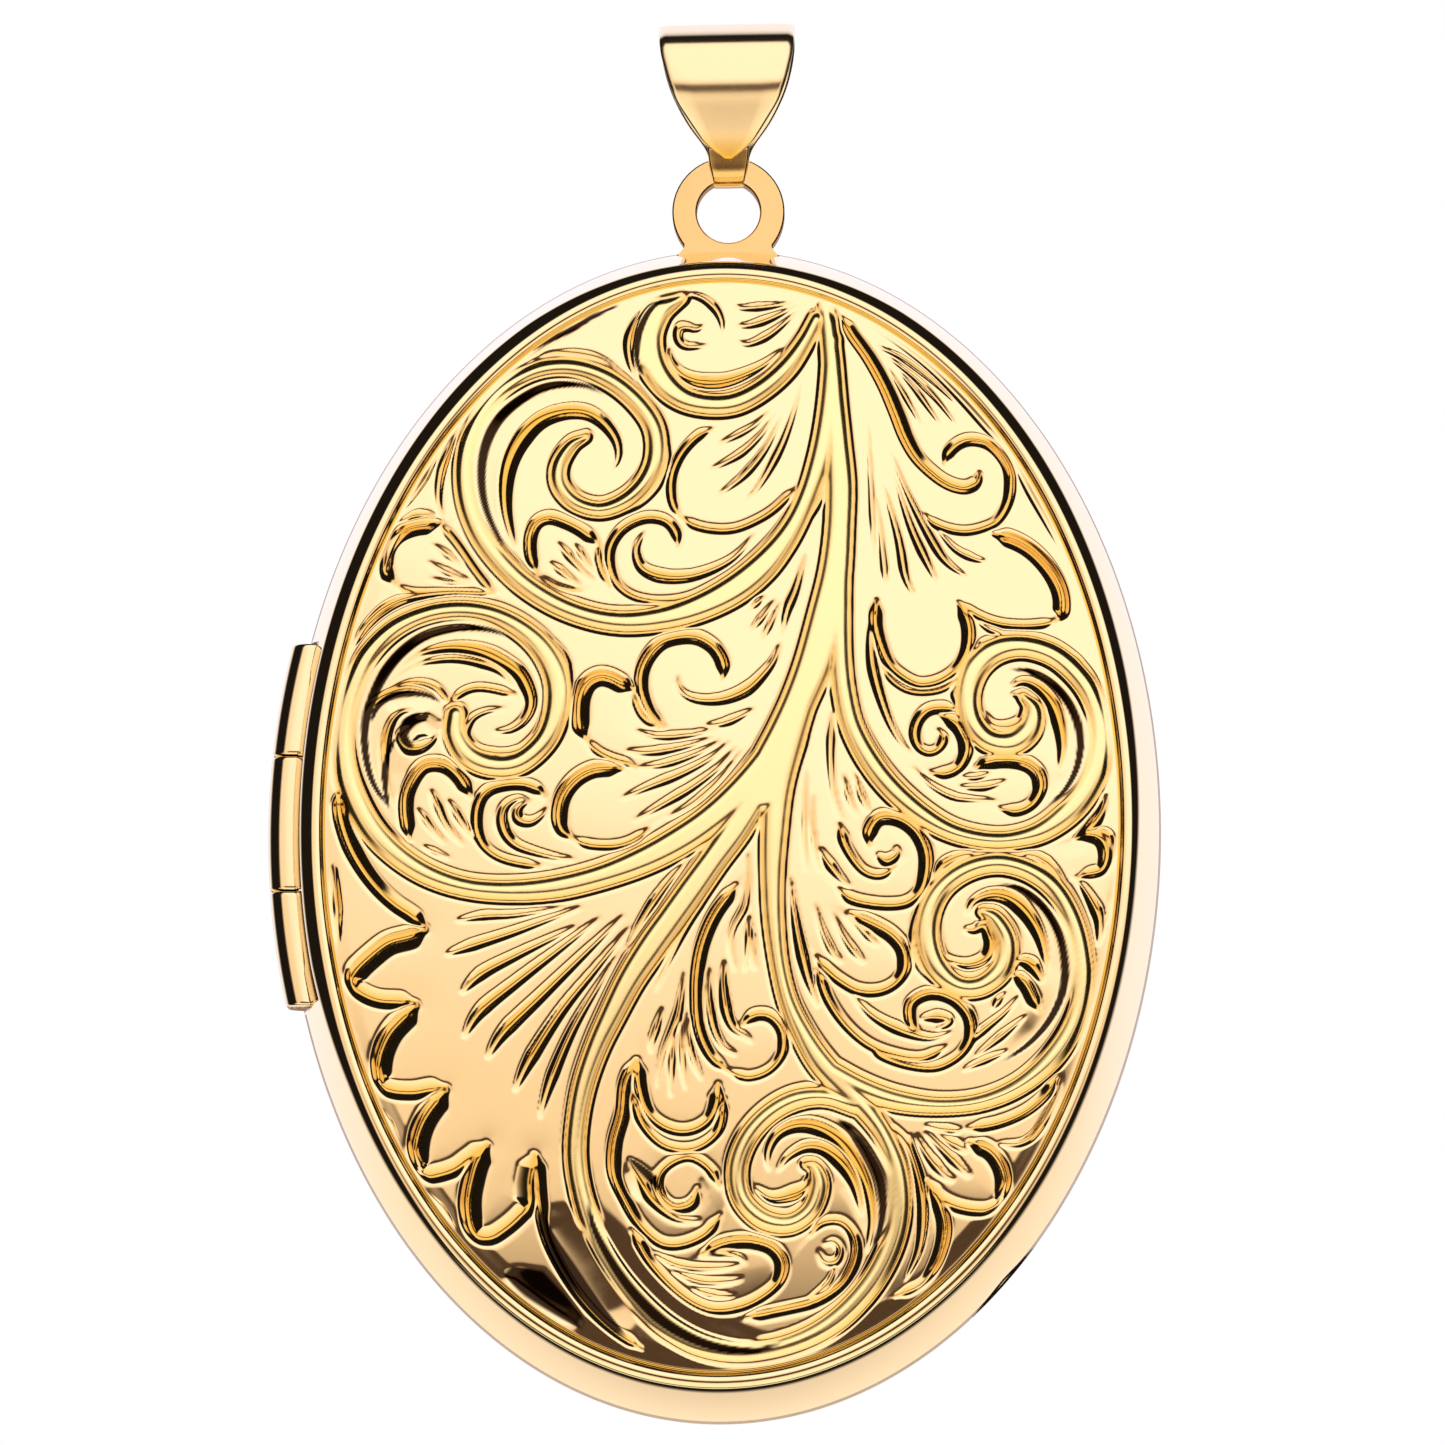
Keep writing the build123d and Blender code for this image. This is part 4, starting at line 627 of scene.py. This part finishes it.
def chase_outlines(field, clear, height, painted_reflection):
    for width, points in OUTLINES:
        ids, d, side, climb, _, _, end = field.near(points)
        ends = 0.35 + 0.65 * ease(end / 0.5)
        broad = 1 - ease(climb * side / 0.8)  # walls that face down are narrow
        w = width * ends
        deep = np.minimum(0.66 * width, OUTLINE_DEPTH) * ends * (0.75 + 0.35 * broad)
        wall = 1 - roll(d / (w * (0.75 + 0.45 * broad)))
        drop = np.where(side > 0, wall, 1 - ease(d / (0.85 * w)))
        swell = np.where(side > 0, LEAF_SWELL * (1 - np.clip(d / 1.2, 0, 1)) ** 2, 0)
        sink(height, ids, (deep * drop + swell) * clear[ids])
        # painted reflection: the groove is coloured orange, like gold mirrored in gold
        low = np.where(side > 0, drop, 1 - ease(d / (0.75 * w)))
        spread(painted_reflection, ids, low * clear[ids])


def chase_cuts(field, clear, height, painted_reflection):
    for width, peak, points in CUTS:
        ids, d, side, _, share, _, _ = field.near(points)
        w = (0.54 * width + 0.03) * np.sqrt(np.clip(taper(share, peak), 0, 1)) + 1e-4
        u = np.clip(d / w, 0, 1)
        drop = np.where(side > 0, 1 - u**4, 1 - roll(u))
        fall = np.minimum(0.72 * w, CUT_DEPTH) * drop * clear[ids]
        sink(height, ids, fall)
        # painted reflection, stronger where the cut is deeper
        spread(painted_reflection, ids, np.clip(fall / 0.18, 0, 1))


def chase_steps(field, out, height, painted_shade, edge_share):
    """Each step: a shallow wall with painted shade on it, and no stem's edge of its own beside it."""
    for width, peak, points in STEPS:
        ids, d, side, _, share, _, _ = field.near(points)
        t = taper(share, peak)
        strength = ease(2.5 * t)
        reach = width * np.sqrt(np.clip(t, 0, 1)) + 0.02
        wall = np.clip(1 - d / reach, 0, 1)
        slope = 1 - ease(d / (4.0 * reach))
        fall = np.minimum(0.35 * reach, STEP_DEPTH) * strength
        outside = ease((out[ids] + STEM_SOFT) / STEM_SOFT)
        sink(height, ids, fall * np.where(side > 0, wall, slope) * outside)
        # painted shade over the wall, reaching only a little onto the low side
        limit = np.where(side > 0, 0.95, 0.2)
        spread(painted_shade, ids, ease(6 * t) * ease((limit - d / reach) / 0.16))
        edge_share[ids] = np.minimum(edge_share[ids], 1 - strength * ease(2.2 - d / reach))


def relief(x, z):
    """The chasing at the panel's points: height in mm, then satin, painted reflection and painted shade,
    from 0 to 1.
    """
    height, painted_reflection, painted_shade = np.zeros((3, len(x)))
    field = Field(x, z)
    out = np.full(len(x), 1e9)  # mm outside the nearest stem's edge
    for points in STEMS.values():
        ids, d, _, _, _, w, _ = field.near(points)
        out[ids] = np.minimum(out[ids], d - w)
    clear = ease((out + 0.02) / 0.10)  # no leaf's cut runs over a stem
    chase_outlines(field, clear, height, painted_reflection)
    chase_cuts(field, clear, height, painted_reflection)
    edge_share = np.ones(len(x))
    chase_steps(field, out, height, painted_shade, edge_share)
    # the stems stand a little proud: their own edge slopes gently, the wall outside it is steep
    edge = np.where(out < 0, 1 - np.clip(-out / 0.26, 0, 1), 1 - roll(out / 0.16))
    edge = np.where(np.abs(out) < 0.5, edge, 0) * edge_share
    height = np.minimum(height, -STEM_EDGE_DEPTH * edge)
    # painted reflection along each stem's edge and on the steep wall outside it
    painted_reflection = np.maximum(painted_reflection, 0.85 * edge)
    height += STEM_RISE * ease(-out / 0.15)
    return height, ease(-out / STEM_SOFT), painted_reflection, painted_shade


# ---- meshes ----
def new_mesh(name, verts, faces, layers=None, smooth_faces=True):
    mesh = bpy.data.meshes.new(name)
    mesh.from_pydata([tuple(p) for p in verts], [], [tuple(f) for f in faces])
    mesh.polygons.foreach_set("use_smooth", [smooth_faces] * len(mesh.polygons))
    for key, values in (layers or {}).items():
        layer = mesh.attributes.new(key, "FLOAT", "POINT")
        layer.data.foreach_set("value", np.asarray(values, np.float32))
    mesh.update()
    obj = bpy.data.objects.new(name, mesh)
    bpy.context.scene.collection.objects.link(obj)
    return obj


def place(verts):
    """From mm about the case's middle to metres in the frame."""
    v = np.array(verts, float)
    v[:, 2] += CASE_Z
    return v * MM


def skin(rows, sides):
    """The faces of a closed tube: rows of vertices, joined row by row and capped at both ends."""
    faces = []
    for row in range(rows - 1):
        for i in range(sides):
            j = (i + 1) % sides
            low, high = row * sides, (row + 1) * sides
            faces.append((low + i, low + j, high + j, high + i))
    faces.append(tuple(range(sides))[::-1])
    faces.append(tuple(range((rows - 1) * sides, rows * sides)))
    return faces


# ---- the two halves of the case ----
def disc(u, v):
    """A square of -1 to 1 made round, without a middle point where edges crowd."""
    return u * np.sqrt(1 - v * v / 2), v * np.sqrt(1 - u * u / 2)


def border(count_x, count_z):
    """The round grid's border, from its lower left and anticlockwise."""
    u = np.linspace(-1, 1, count_x + 1)
    v = np.linspace(-1, 1, count_z + 1)
    low = np.stack([u[:-1], np.full(count_x, -1.0)], 1)
    right = np.stack([np.ones(count_z), v[:-1]], 1)
    high = np.stack([u[:0:-1], np.ones(count_x)], 1)
    left = np.stack([-np.ones(count_z), v[:0:-1]], 1)
    return disc(*np.vstack([low, right, high, left]).T)


def border_ids(count_x, count_z):
    """The same border as vertex numbers of the grid, which is numbered row by row from the lower left."""
    wide = count_x + 1
    low = np.arange(count_x)
    right = np.arange(count_z) * wide + count_x
    high = count_z * wide + np.arange(count_x, 0, -1)
    left = np.arange(count_z, 0, -1) * wide
    return np.concatenate([low, right, high, left])


def narrowed(inset, deep, loss):
    """A rim ring where the bead's outer flank has lost a share and the wall takes up the rest."""
    kept = 1 - loss
    if FLANK_FOOT[0] < inset < BEAD_SIDE[0]:
        return BEAD_SIDE[0] - (BEAD_SIDE[0] - inset) * kept, BEAD_SIDE[1] - (BEAD_SIDE[1] - deep) * kept
    if inset > FLANK_FOOT[0]:
        return inset, deep
    foot_inset = BEAD_SIDE[0] - (BEAD_SIDE[0] - FLANK_FOOT[0]) * kept
    foot_depth = BEAD_SIDE[1] - (BEAD_SIDE[1] - FLANK_FOOT[1]) * kept
    return inset * foot_inset / FLANK_FOOT[0], deep * foot_depth / FLANK_FOOT[1]


def panel(front, rings, count_x, count_z):
    """The grid inside the rim: x, depth and z in mm, and its satin, painted reflection and painted shade
    values.
    """
    u, v = np.meshgrid(np.linspace(-1, 1, count_x + 1), np.linspace(-1, 1, count_z + 1))
    u, v = disc(u.ravel(), v.ravel())
    a = HALF_WIDTH - rings[0][0]
    x, z = a * u, (HALF_HEIGHT - END_SPREAD * rings[0][0]) * v
    s2 = u * u + v * v
    if not front:
        return x, rings[0][1] + BACK_CROWN * (1 - s2), z, np.zeros((len(x), 3))
    from_edge = (1 - np.sqrt(s2)) * a
    height, satin, painted_reflection, painted_shade = relief(x, z)
    height = soften(height.reshape(count_z + 1, count_x + 1)).ravel()
    chased = ease(from_edge / PLAIN_EDGE)
    depth = PANEL_DEPTH + DOME * (1 - s2) + height * chased
    depth += EDGE_DIP * (ease(from_edge / EDGE_DIP_WIDTH) - 1)
    return x, depth, z, np.stack([satin * chased, painted_reflection * chased, painted_shade], 1)


def clear_hinge(verts, front, hidden):
    """The hinge's channel: what is nearer the pin than the turning tubes need moves away into the case."""
    x, y, z = verts.T
    middle = (z > TUBE_SEAMS[0]) & (z < TUBE_SEAMS[1])
    reach = np.where(middle == front, TUBE_R - TUBE_BITE, CHANNEL_R) + np.where(hidden, SKIN, 0)
    beside = (z > TUBE_ENDS[0] - CHANNEL_END) & (z < TUBE_ENDS[1] + CHANNEL_END)
    beside &= np.hypot(x - PIN_X, y) < reach
    on_reach = PIN_X + np.sqrt(np.clip(reach**2 - y**2, 0, None))
    verts[:, 0] = np.where(beside, on_reach, x)


def dent_notch(verts, hidden):
    """The nail notch: the wall just in front of the seam is pushed in toward the middle."""
    x, y, z = verts.T
    away = np.hypot(x - NOTCH_X, z - NOTCH_Z)
    dent = NOTCH_DEPTH * np.exp(-((away / NOTCH_R) ** 2)) * np.clip(1 + y / NOTCH_FADE, 0, 1)
    dent[hidden] = 0
    verts[:, 0] *= 1 - dent / HALF_WIDTH
    verts[:, 2] *= 1 - dent / HALF_WIDTH


def half_case(name, front, rings, count_x, count_z):
    """One half: the panel, its rim rings out to the seam and the hollow behind, as one closed skin."""
    sign = -1 if front else 1
    x, depth, z, masks = panel(front, rings, count_x, count_z)
    verts = [np.stack([x, sign * depth, z], 1)]
    layers = [masks]
    wide = count_x + 1
    i = (np.arange(count_z)[:, None] * wide + np.arange(count_x)[None, :]).ravel()
    faces = [np.stack([i, i + 1, i + wide + 1, i + wide], 1)]
    loop = border_ids(count_x, count_z)
    bu, bv = border(count_x, count_z)
    n = len(loop)
    count = len(x)
    loss = np.interp(np.degrees(np.arctan2(bv, bu)), *zip(*FLANK_LOSS))
    for k, (inset, deep, painted_reflection_share) in enumerate(rings[1:] + HOLLOW):
        if front and k < len(rings) - 1:
            inset, deep = narrowed(inset, deep, loss)
        px = (HALF_WIDTH - inset) * bu
        pz = (HALF_HEIGHT - END_SPREAD * inset) * bv
        verts.append(np.stack([px, sign * deep + np.zeros(n), pz], 1))
        # the ring's share of painted reflection goes in the middle layer
        layers.append(np.stack([np.zeros(n), np.full(n, painted_reflection_share), np.zeros(n)], 1))
        ring = count + np.arange(n)
        faces.append(np.stack([loop, ring, np.roll(ring, -1), np.roll(loop, -1)], 1))
        loop = ring
        count += n
    verts = np.vstack(verts + [[[0, sign * HOLLOW[-1][1], 0]]])
    layers = np.vstack(layers + [[[0, 0, 0]]])
    fan = np.stack([loop, np.full(n, count), np.roll(loop, -1)], 1)
    hidden = np.arange(len(verts)) > count - n * len(HOLLOW)
    clear_hinge(verts, front, hidden)
    if front:
        dent_notch(verts, hidden)
    polys = np.vstack(faces).tolist() + fan.tolist()
    # the layers: satin, painted reflection and painted shade
    obj = new_mesh(name, place(verts), polys, dict(zip(("satin", "painted_reflection", "painted_shade"), layers.T)))
    bm = bmesh.new()
    bm.from_mesh(obj.data)
    bmesh.ops.recalc_face_normals(bm, faces=bm.faces)
    bm.to_mesh(obj.data)
    bm.free()
    return obj


front = half_case("front_cover_chased", True, FRONT_RINGS, ACROSS, ALONG)
back = half_case("back_cover_plain", False, BACK_RINGS, *BACK_CELLS)
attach(front, "case_front")
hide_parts("front_cover")
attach(back, "case_back")
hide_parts("back_cover")


# ---- hinge, bail, lug ----
def tube(name, low, high, body, node):
    """One hinge tube: round about the pin on its inner side, filed square to the outline on its outer."""
    across = 48
    heights = [low, low + 0.3 * TUBE_SOFT, low + TUBE_SOFT]
    heights += list(np.linspace(low + 2 * TUBE_SOFT, high - 2 * TUBE_SOFT, 12))
    heights += [high - TUBE_SOFT, high - 0.3 * TUBE_SOFT, high]
    verts = []
    for z in heights:
        reach = HALF_WIDTH * np.sqrt(1 - (z / HALF_HEIGHT) ** 2) + TUBE_PROUD + PIN_X
        end = min(z - low, high - z, TUBE_SOFT)
        shrink = 1 - (TUBE_SOFT - np.sqrt(max(0, TUBE_SOFT**2 - (TUBE_SOFT - end) ** 2))) / TUBE_R
        middle = TUBE_CORNER - reach
        for a in np.linspace(0, tau, across, endpoint=False):
            if cos(a) < 0:
                x = middle + TUBE_CORNER * cos(a)
                y = TUBE_R - TUBE_CORNER + TUBE_CORNER * abs(sin(a))
            else:
                x = middle + (TUBE_R - middle) * cos(a) ** TUBE_SQUARENESS
                y = TUBE_R * abs(sin(a)) ** TUBE_SQUARENESS
            verts.append((PIN_X + x * shrink, copysign(y, sin(a)) * shrink, z))
    obj = new_mesh(name, place(verts), skin(len(heights), across))
    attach(obj, body)
    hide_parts(node)
    return obj


knuckles = [
    tube("hinge_tube_top", TUBE_SEAMS[1] + SEAM_GAP, TUBE_ENDS[1] - PIN_PROUD, "case_back",
         "hinge_knuckle_top"),
    tube("hinge_tube_middle", TUBE_SEAMS[0] + SEAM_GAP, TUBE_SEAMS[1] - SEAM_GAP, "case_front",
         "hinge_knuckle_middle"),
    tube("hinge_tube_bottom", TUBE_ENDS[0] + PIN_PROUD, TUBE_SEAMS[0] - SEAM_GAP, "case_back",
         "hinge_knuckle_bottom"),
]


def bail():
    """The strap as one closed skin, crowned a little and bevelled along both edges."""
    line = smooth(BAIL_PATH, 0.12)
    y, z, half, thick = line.T
    dy, dz = np.gradient(y), np.gradient(z)
    size = np.hypot(dy, dz)
    ny, nz = -dz / size, dy / size  # outward, off the loop
    verts = []
    for i in range(len(line)):
        for across, out in BAIL_SECTION:
            off = out * thick[i]
            verts.append((across * half[i], y[i] + off * ny[i], z[i] + off * nz[i]))
    v = np.array(verts)
    x, up = v[:, 0].copy(), v[:, 2] - SWING_Z
    v[:, 0] = x * cos(BAIL_SWAY) + up * sin(BAIL_SWAY)
    v[:, 2] = SWING_Z - x * sin(BAIL_SWAY) + up * cos(BAIL_SWAY)
    # painted reflection: the orange of a cut, at the front leaf's tip and in the loop
    along = np.repeat(np.arange(len(line)), len(BAIL_SECTION))
    leaf = (v[:, 1] < -0.5) & (along < len(line) // 3)
    tip = np.where(leaf, ease((24.5 - v[:, 2]) / 1.1), 0)
    loop = 0.7 * ease((24.0 - v[:, 2]) / 0.6)
    layers = {"satin": np.zeros(len(v)), "painted_reflection": np.maximum(tip, loop)}
    obj = new_mesh("bail_strap", place(v), skin(len(line), len(BAIL_SECTION)), layers)
    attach(obj, "bail")
    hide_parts("bail")
    return obj


def lug():
    """The flat ring soldered on top, its foot flaring into the rim, with softened edges."""
    around = 96
    sides = 8
    low = FOOT_Z - LUG_Z
    neck = LUG_R * np.sqrt(1 - ((low + FOOT_FLARE) / LUG_R) ** 2)
    foot = LUG_R * np.sqrt(1 - (low / LUG_R) ** 2)
    y = LUG_THICK / 2
    verts = []
    for a in np.linspace(0, tau, around, endpoint=False):
        x, z = LUG_R * cos(a), LUG_R * sin(a)
        if z < low:
            # the foot's underside follows the case's oval
            share = x / foot
            x, z = FOOT_HALF_WIDTH * share, low - 0.18 - 0.1 * (1 - abs(share))
        elif z < low + FOOT_FLARE:
            t = min(1, (low + FOOT_FLARE - z) / FOOT_FLARE)
            x = copysign(neck + (FOOT_HALF_WIDTH - neck) * t * t, x)
        hx, hz = LUG_HOLE_R * cos(a), LUG_HOLE_R * sin(a)
        size = np.hypot(x - hx, z - hz)
        ux, uz = LUG_SOFT * (x - hx) / size, LUG_SOFT * (z - hz) / size
        section = [(x, z, y - LUG_SOFT), (x - ux, z - uz, y), (hx + ux, hz + uz, y), (hx, hz, y - LUG_SOFT)]
        verts += [(px, -py, LUG_Z + pz) for px, pz, py in section]
        verts += [(px, py, LUG_Z + pz) for px, pz, py in section[::-1]]
    faces = []
    for i in range(around):
        j = (i + 1) % around
        for k in range(sides):
            m = (k + 1) % sides
            faces.append((i * sides + k, i * sides + m, j * sides + m, j * sides + k))
    obj = new_mesh("lug_ring", place(verts), faces, smooth_faces=False)
    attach(obj, "case_back")
    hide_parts("lug")
    return obj


def pane(name, half_x, half_z, y_range, body, node):
    """A window's flat oval film, just clear of the card so that the two don't share a face."""
    verts = []
    for y in y_range:
        for a in np.linspace(0, tau, 120, endpoint=False):
            verts.append((half_x * cos(a), y, half_z * sin(a)))
    obj = new_mesh(name, place(verts), skin(2, len(verts) // 2), smooth_faces=False)
    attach(obj, body)
    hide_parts(node)
    return obj


strap = bail()
ring = lug()
panes = [
    pane("front_film", 12.95, 17.80, (-1.17, -1.0), "case_front", "front_window"),
    pane("back_film", 12.60, 17.38, (0.70, 0.87), "case_back", "back_window"),
]


# ---- materials ----
POLISHED = (0.98, 0.80, 0.47, 1)
SATIN = (1.0, 0.84, 0.42, 1)
# painted reflection: the orange of gold mirrored in gold, painted into the cuts and grooves
CUT_REFLECTION_PAINT = (0.84, 0.50, 0.09, 1)
# painted shade: the dark that these walls would mirror, painted into the colour
IN_SHADE = (0.035, 0.020, 0.010, 1)
TAN = (0.87, 0.57, 0.24, 1)


def nodes_of(name):
    mat = bpy.data.materials.new(name)
    mat.use_nodes = True
    tree = mat.node_tree
    return mat, tree, tree.nodes["Principled BSDF"]


def feed(tree, socket, value):
    """Sets a socket to a plain value, or links it to another socket."""
    if hasattr(value, "is_output"):
        tree.links.new(value, socket)
    else:
        socket.default_value = value


def mix(tree, factor, a, b):
    """A colour mix; each of factor, a and b is a socket or a plain value."""
    node = tree.nodes.new("ShaderNodeMix")
    node.data_type = "RGBA"
    feed(tree, node.inputs[0], factor)
    feed(tree, node.inputs[6], a)
    feed(tree, node.inputs[7], b)
    return node.outputs[2]


def maths(tree, kind, a, b=0.0):
    node = tree.nodes.new("ShaderNodeMath")
    node.operation = kind
    feed(tree, node.inputs[0], a)
    feed(tree, node.inputs[1], b)
    return node.outputs[0]


def noise(tree, scale, detail=3.0):
    where = tree.nodes.new("ShaderNodeTexCoord")
    node = tree.nodes.new("ShaderNodeTexNoise")
    node.inputs["Scale"].default_value = scale
    node.inputs["Detail"].default_value = detail
    tree.links.new(where.outputs["Object"], node.inputs["Vector"])
    return node.outputs["Fac"]


def painted(tree, name):
    """A mesh's own 0-to-1 layer."""
    node = tree.nodes.new("ShaderNodeAttribute")
    node.attribute_name = name
    return node.outputs["Fac"]


def gold(name, rough=0.06, chased=False, base=POLISHED, brushing=0.02):
    """Gold; the chased kind takes its colour, with painted reflection and painted shade, and its satin from
    the mesh's own layers.
    """
    mat, tree, shader = nodes_of(name)
    shader.inputs["Metallic"].default_value = 1.0
    if chased:
        satin = painted(tree, "satin")
        colour = mix(tree, satin, POLISHED, SATIN)
        # painted reflection in the cuts, then painted shade on the dark walls
        colour = mix(tree, painted(tree, "painted_reflection"), colour, CUT_REFLECTION_PAINT)
        colour = mix(tree, painted(tree, "painted_shade"), colour, IN_SHADE)
        brushed = maths(tree, "MULTIPLY", satin, 0.08)
    else:
        colour = mix(tree, noise(tree, 400), base, tuple(0.97 * c for c in base[:3]) + (1,))
        brushed = maths(tree, "MULTIPLY", noise(tree, 900), brushing)
    fine = maths(tree, "MULTIPLY", noise(tree, 3000, 2.0), 0.05)
    total = maths(tree, "ADD", maths(tree, "ADD", brushed, fine), rough)
    tree.links.new(colour, shader.inputs["Base Color"])
    tree.links.new(total, shader.inputs["Roughness"])
    return mat


def wear(obj, material):
    obj.data.materials.clear()
    obj.data.materials.append(material)


polished = gold("gold_polished")
satin_gold = gold("gold_satin", base=TAN, brushing=0.20)
card, tree, shader = nodes_of("picture_card")
paper = mix(tree, noise(tree, 1500), (0.95, 0.93, 0.87, 1), (0.90, 0.87, 0.79, 1))
tree.links.new(paper, shader.inputs["Base Color"])
shader.inputs["Roughness"].default_value = 0.8
film, tree, shader = nodes_of("window_film")
shader.inputs["Base Color"].default_value = (0.97, 0.98, 0.97, 1)
shader.inputs["Alpha"].default_value = 0.25
haze = maths(tree, "MULTIPLY", noise(tree, 300), 0.06)
tree.links.new(maths(tree, "ADD", haze, 0.22), shader.inputs["Roughness"])

wear(front, gold("gold_chased", chased=True))
wear(back, polished)
wear(ring, satin_gold)
wear(strap, gold("gold_soft", rough=0.17, chased=True))
for piece in knuckles:
    wear(piece, polished)
for piece in panes:
    wear(piece, film)
for node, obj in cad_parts.items():
    if "window" in node:
        wear(obj, film)
    elif "card" in node:
        wear(obj, card)
    elif node == "lug":
        wear(obj, satin_gold)
    else:
        wear(obj, polished)

# ---- light: white in front and behind, a dark ring at the sides, a soft brown gap round the camera ----
world = bpy.data.worlds.new("studio")
bpy.context.scene.world = world
world.use_nodes = True
tree = world.node_tree
tree.nodes.clear()
where = tree.nodes.new("ShaderNodeTexCoord")
parts = tree.nodes.new("ShaderNodeSeparateXYZ")
tree.links.new(where.outputs["Generated"], parts.inputs[0])
wx, wy, wz = parts.outputs


def step_up(value, low, high):
    node = tree.nodes.new("ShaderNodeMapRange")
    node.interpolation_type = "SMOOTHSTEP"
    tree.links.new(value, node.inputs["Value"])
    node.inputs["From Min"].default_value = low
    node.inputs["From Max"].default_value = high
    return node.outputs["Result"]


def times(a, b):
    return maths(tree, "MULTIPLY", a, b)


def plus(a, b):
    return maths(tree, "ADD", a, b)


def band(value, middle, inner, outer):
    """1 where a value is within inner of the middle, falling to 0 at outer."""
    away = maths(tree, "ABSOLUTE", plus(value, -middle))
    return step_up(times(away, -1.0), -outer, -inner)


GAP_HEIGHT = -0.19
below = times(wz, -1.0)
front_light = step_up(plus(times(wy, -1.0), times(step_up(below, 0.30, 0.70), 0.50)), 0.60, 0.76)
gap = times(times(band(wz, GAP_HEIGHT, 0.11, 0.19), band(wx, 0.03, 0.30, 0.60)), front_light)
slope = plus(wz, times(wx, 0.6))
warm = mix(tree, step_up(slope, -0.15, 0.20), (1.07, 0.90, 0.78, 1), (1.28, 1.19, 1.16, 1))
warm = mix(tree, step_up(below, 0.25, 0.50), warm, (1.25, 1.12, 0.95, 1))
warm = mix(tree, band(wz, GAP_HEIGHT, 0.14, 0.36), warm, (1.02, 0.80, 0.62, 1))
behind = mix(tree, step_up(wz, -0.35, 0.0), (1.10, 0.98, 0.95, 1), (1.10, 1.06, 1.28, 1))
# a surface seen almost edge-on mirrors what is straight behind: that is darker, so that outlines show
behind = mix(tree, step_up(wy, 0.90, 0.985), behind, (0.34, 0.24, 0.19, 1))
lit = mix(tree, front_light, (0.012, 0.010, 0.010, 1), warm)
lit = mix(tree, step_up(wy, 0.35, 0.75), lit, behind)
lit = mix(tree, gap, lit, (0.085, 0.05, 0.035, 1))
ray = tree.nodes.new("ShaderNodeLightPath")
shown = mix(tree, ray.outputs["Is Camera Ray"], lit, (1.0, 1.0, 1.0, 1))
glow = tree.nodes.new("ShaderNodeBackground")
tree.links.new(shown, glow.inputs["Color"])
sky = tree.nodes.new("ShaderNodeOutputWorld")
tree.links.new(glow.outputs[0], sky.inputs[0])

FLOOR_Z = -0.13
FLOOR_REACH = 2
corners = [(x * FLOOR_REACH, y * FLOOR_REACH, FLOOR_Z) for x, y in ((-1, -1), (1, -1), (1, 1), (-1, 1))]
floor = new_mesh("floor", corners, [(0, 1, 2, 3)])
pale, tree, shader = nodes_of("pale_floor")
stone = mix(tree, noise(tree, 30), (0.86, 0.85, 0.83, 1), (0.84, 0.83, 0.81, 1))
tree.links.new(stone, shader.inputs["Base Color"])
shader.inputs["Roughness"].default_value = 0.9
floor.data.materials.append(pale)
floor.visible_glossy = False  # the light from below shows in the gold as well
overhead = bpy.data.lights.new("overhead", "AREA")
overhead.shape = "DISK"
overhead.size = 0.8
overhead.energy = 9.0
lamp = bpy.data.objects.new("overhead", overhead)
lamp.location = (0.0, -0.2, 0.7)
lamp.rotation_euler = (radians(-16), 0, 0)
lamp.visible_glossy = False
bpy.context.scene.collection.objects.link(lamp)

# ---- camera, at the photograph's angle ----
AZIMUTH, ELEVATION, ROLL = radians(1.1), radians(-8.3), radians(0.55)
DISTANCE = 0.2068
TARGET = Vector((-0.04 * MM, 0, (3.70 + CASE_Z) * MM))
back_way = Vector((sin(AZIMUTH) * cos(ELEVATION), -cos(AZIMUTH) * cos(ELEVATION), sin(ELEVATION)))
level = Vector((cos(AZIMUTH), sin(AZIMUTH), 0))
rise = back_way.cross(level)
right_way = level * cos(ROLL) + rise * sin(ROLL)
up_way = -level * sin(ROLL) + rise * cos(ROLL)
lens = bpy.data.cameras.new("camera")
lens.lens, lens.sensor_width = 150, 36
lens.clip_start, lens.clip_end = 0.01, 10
camera = bpy.data.objects.new("camera", lens)
turn = Matrix((right_way, up_way, back_way)).transposed().to_4x4()
camera.matrix_world = Matrix.Translation(TARGET + back_way * DISTANCE) @ turn
bpy.context.scene.collection.objects.link(camera)
bpy.context.scene.camera = camera
bpy.context.scene.view_settings.view_transform = "Standard"
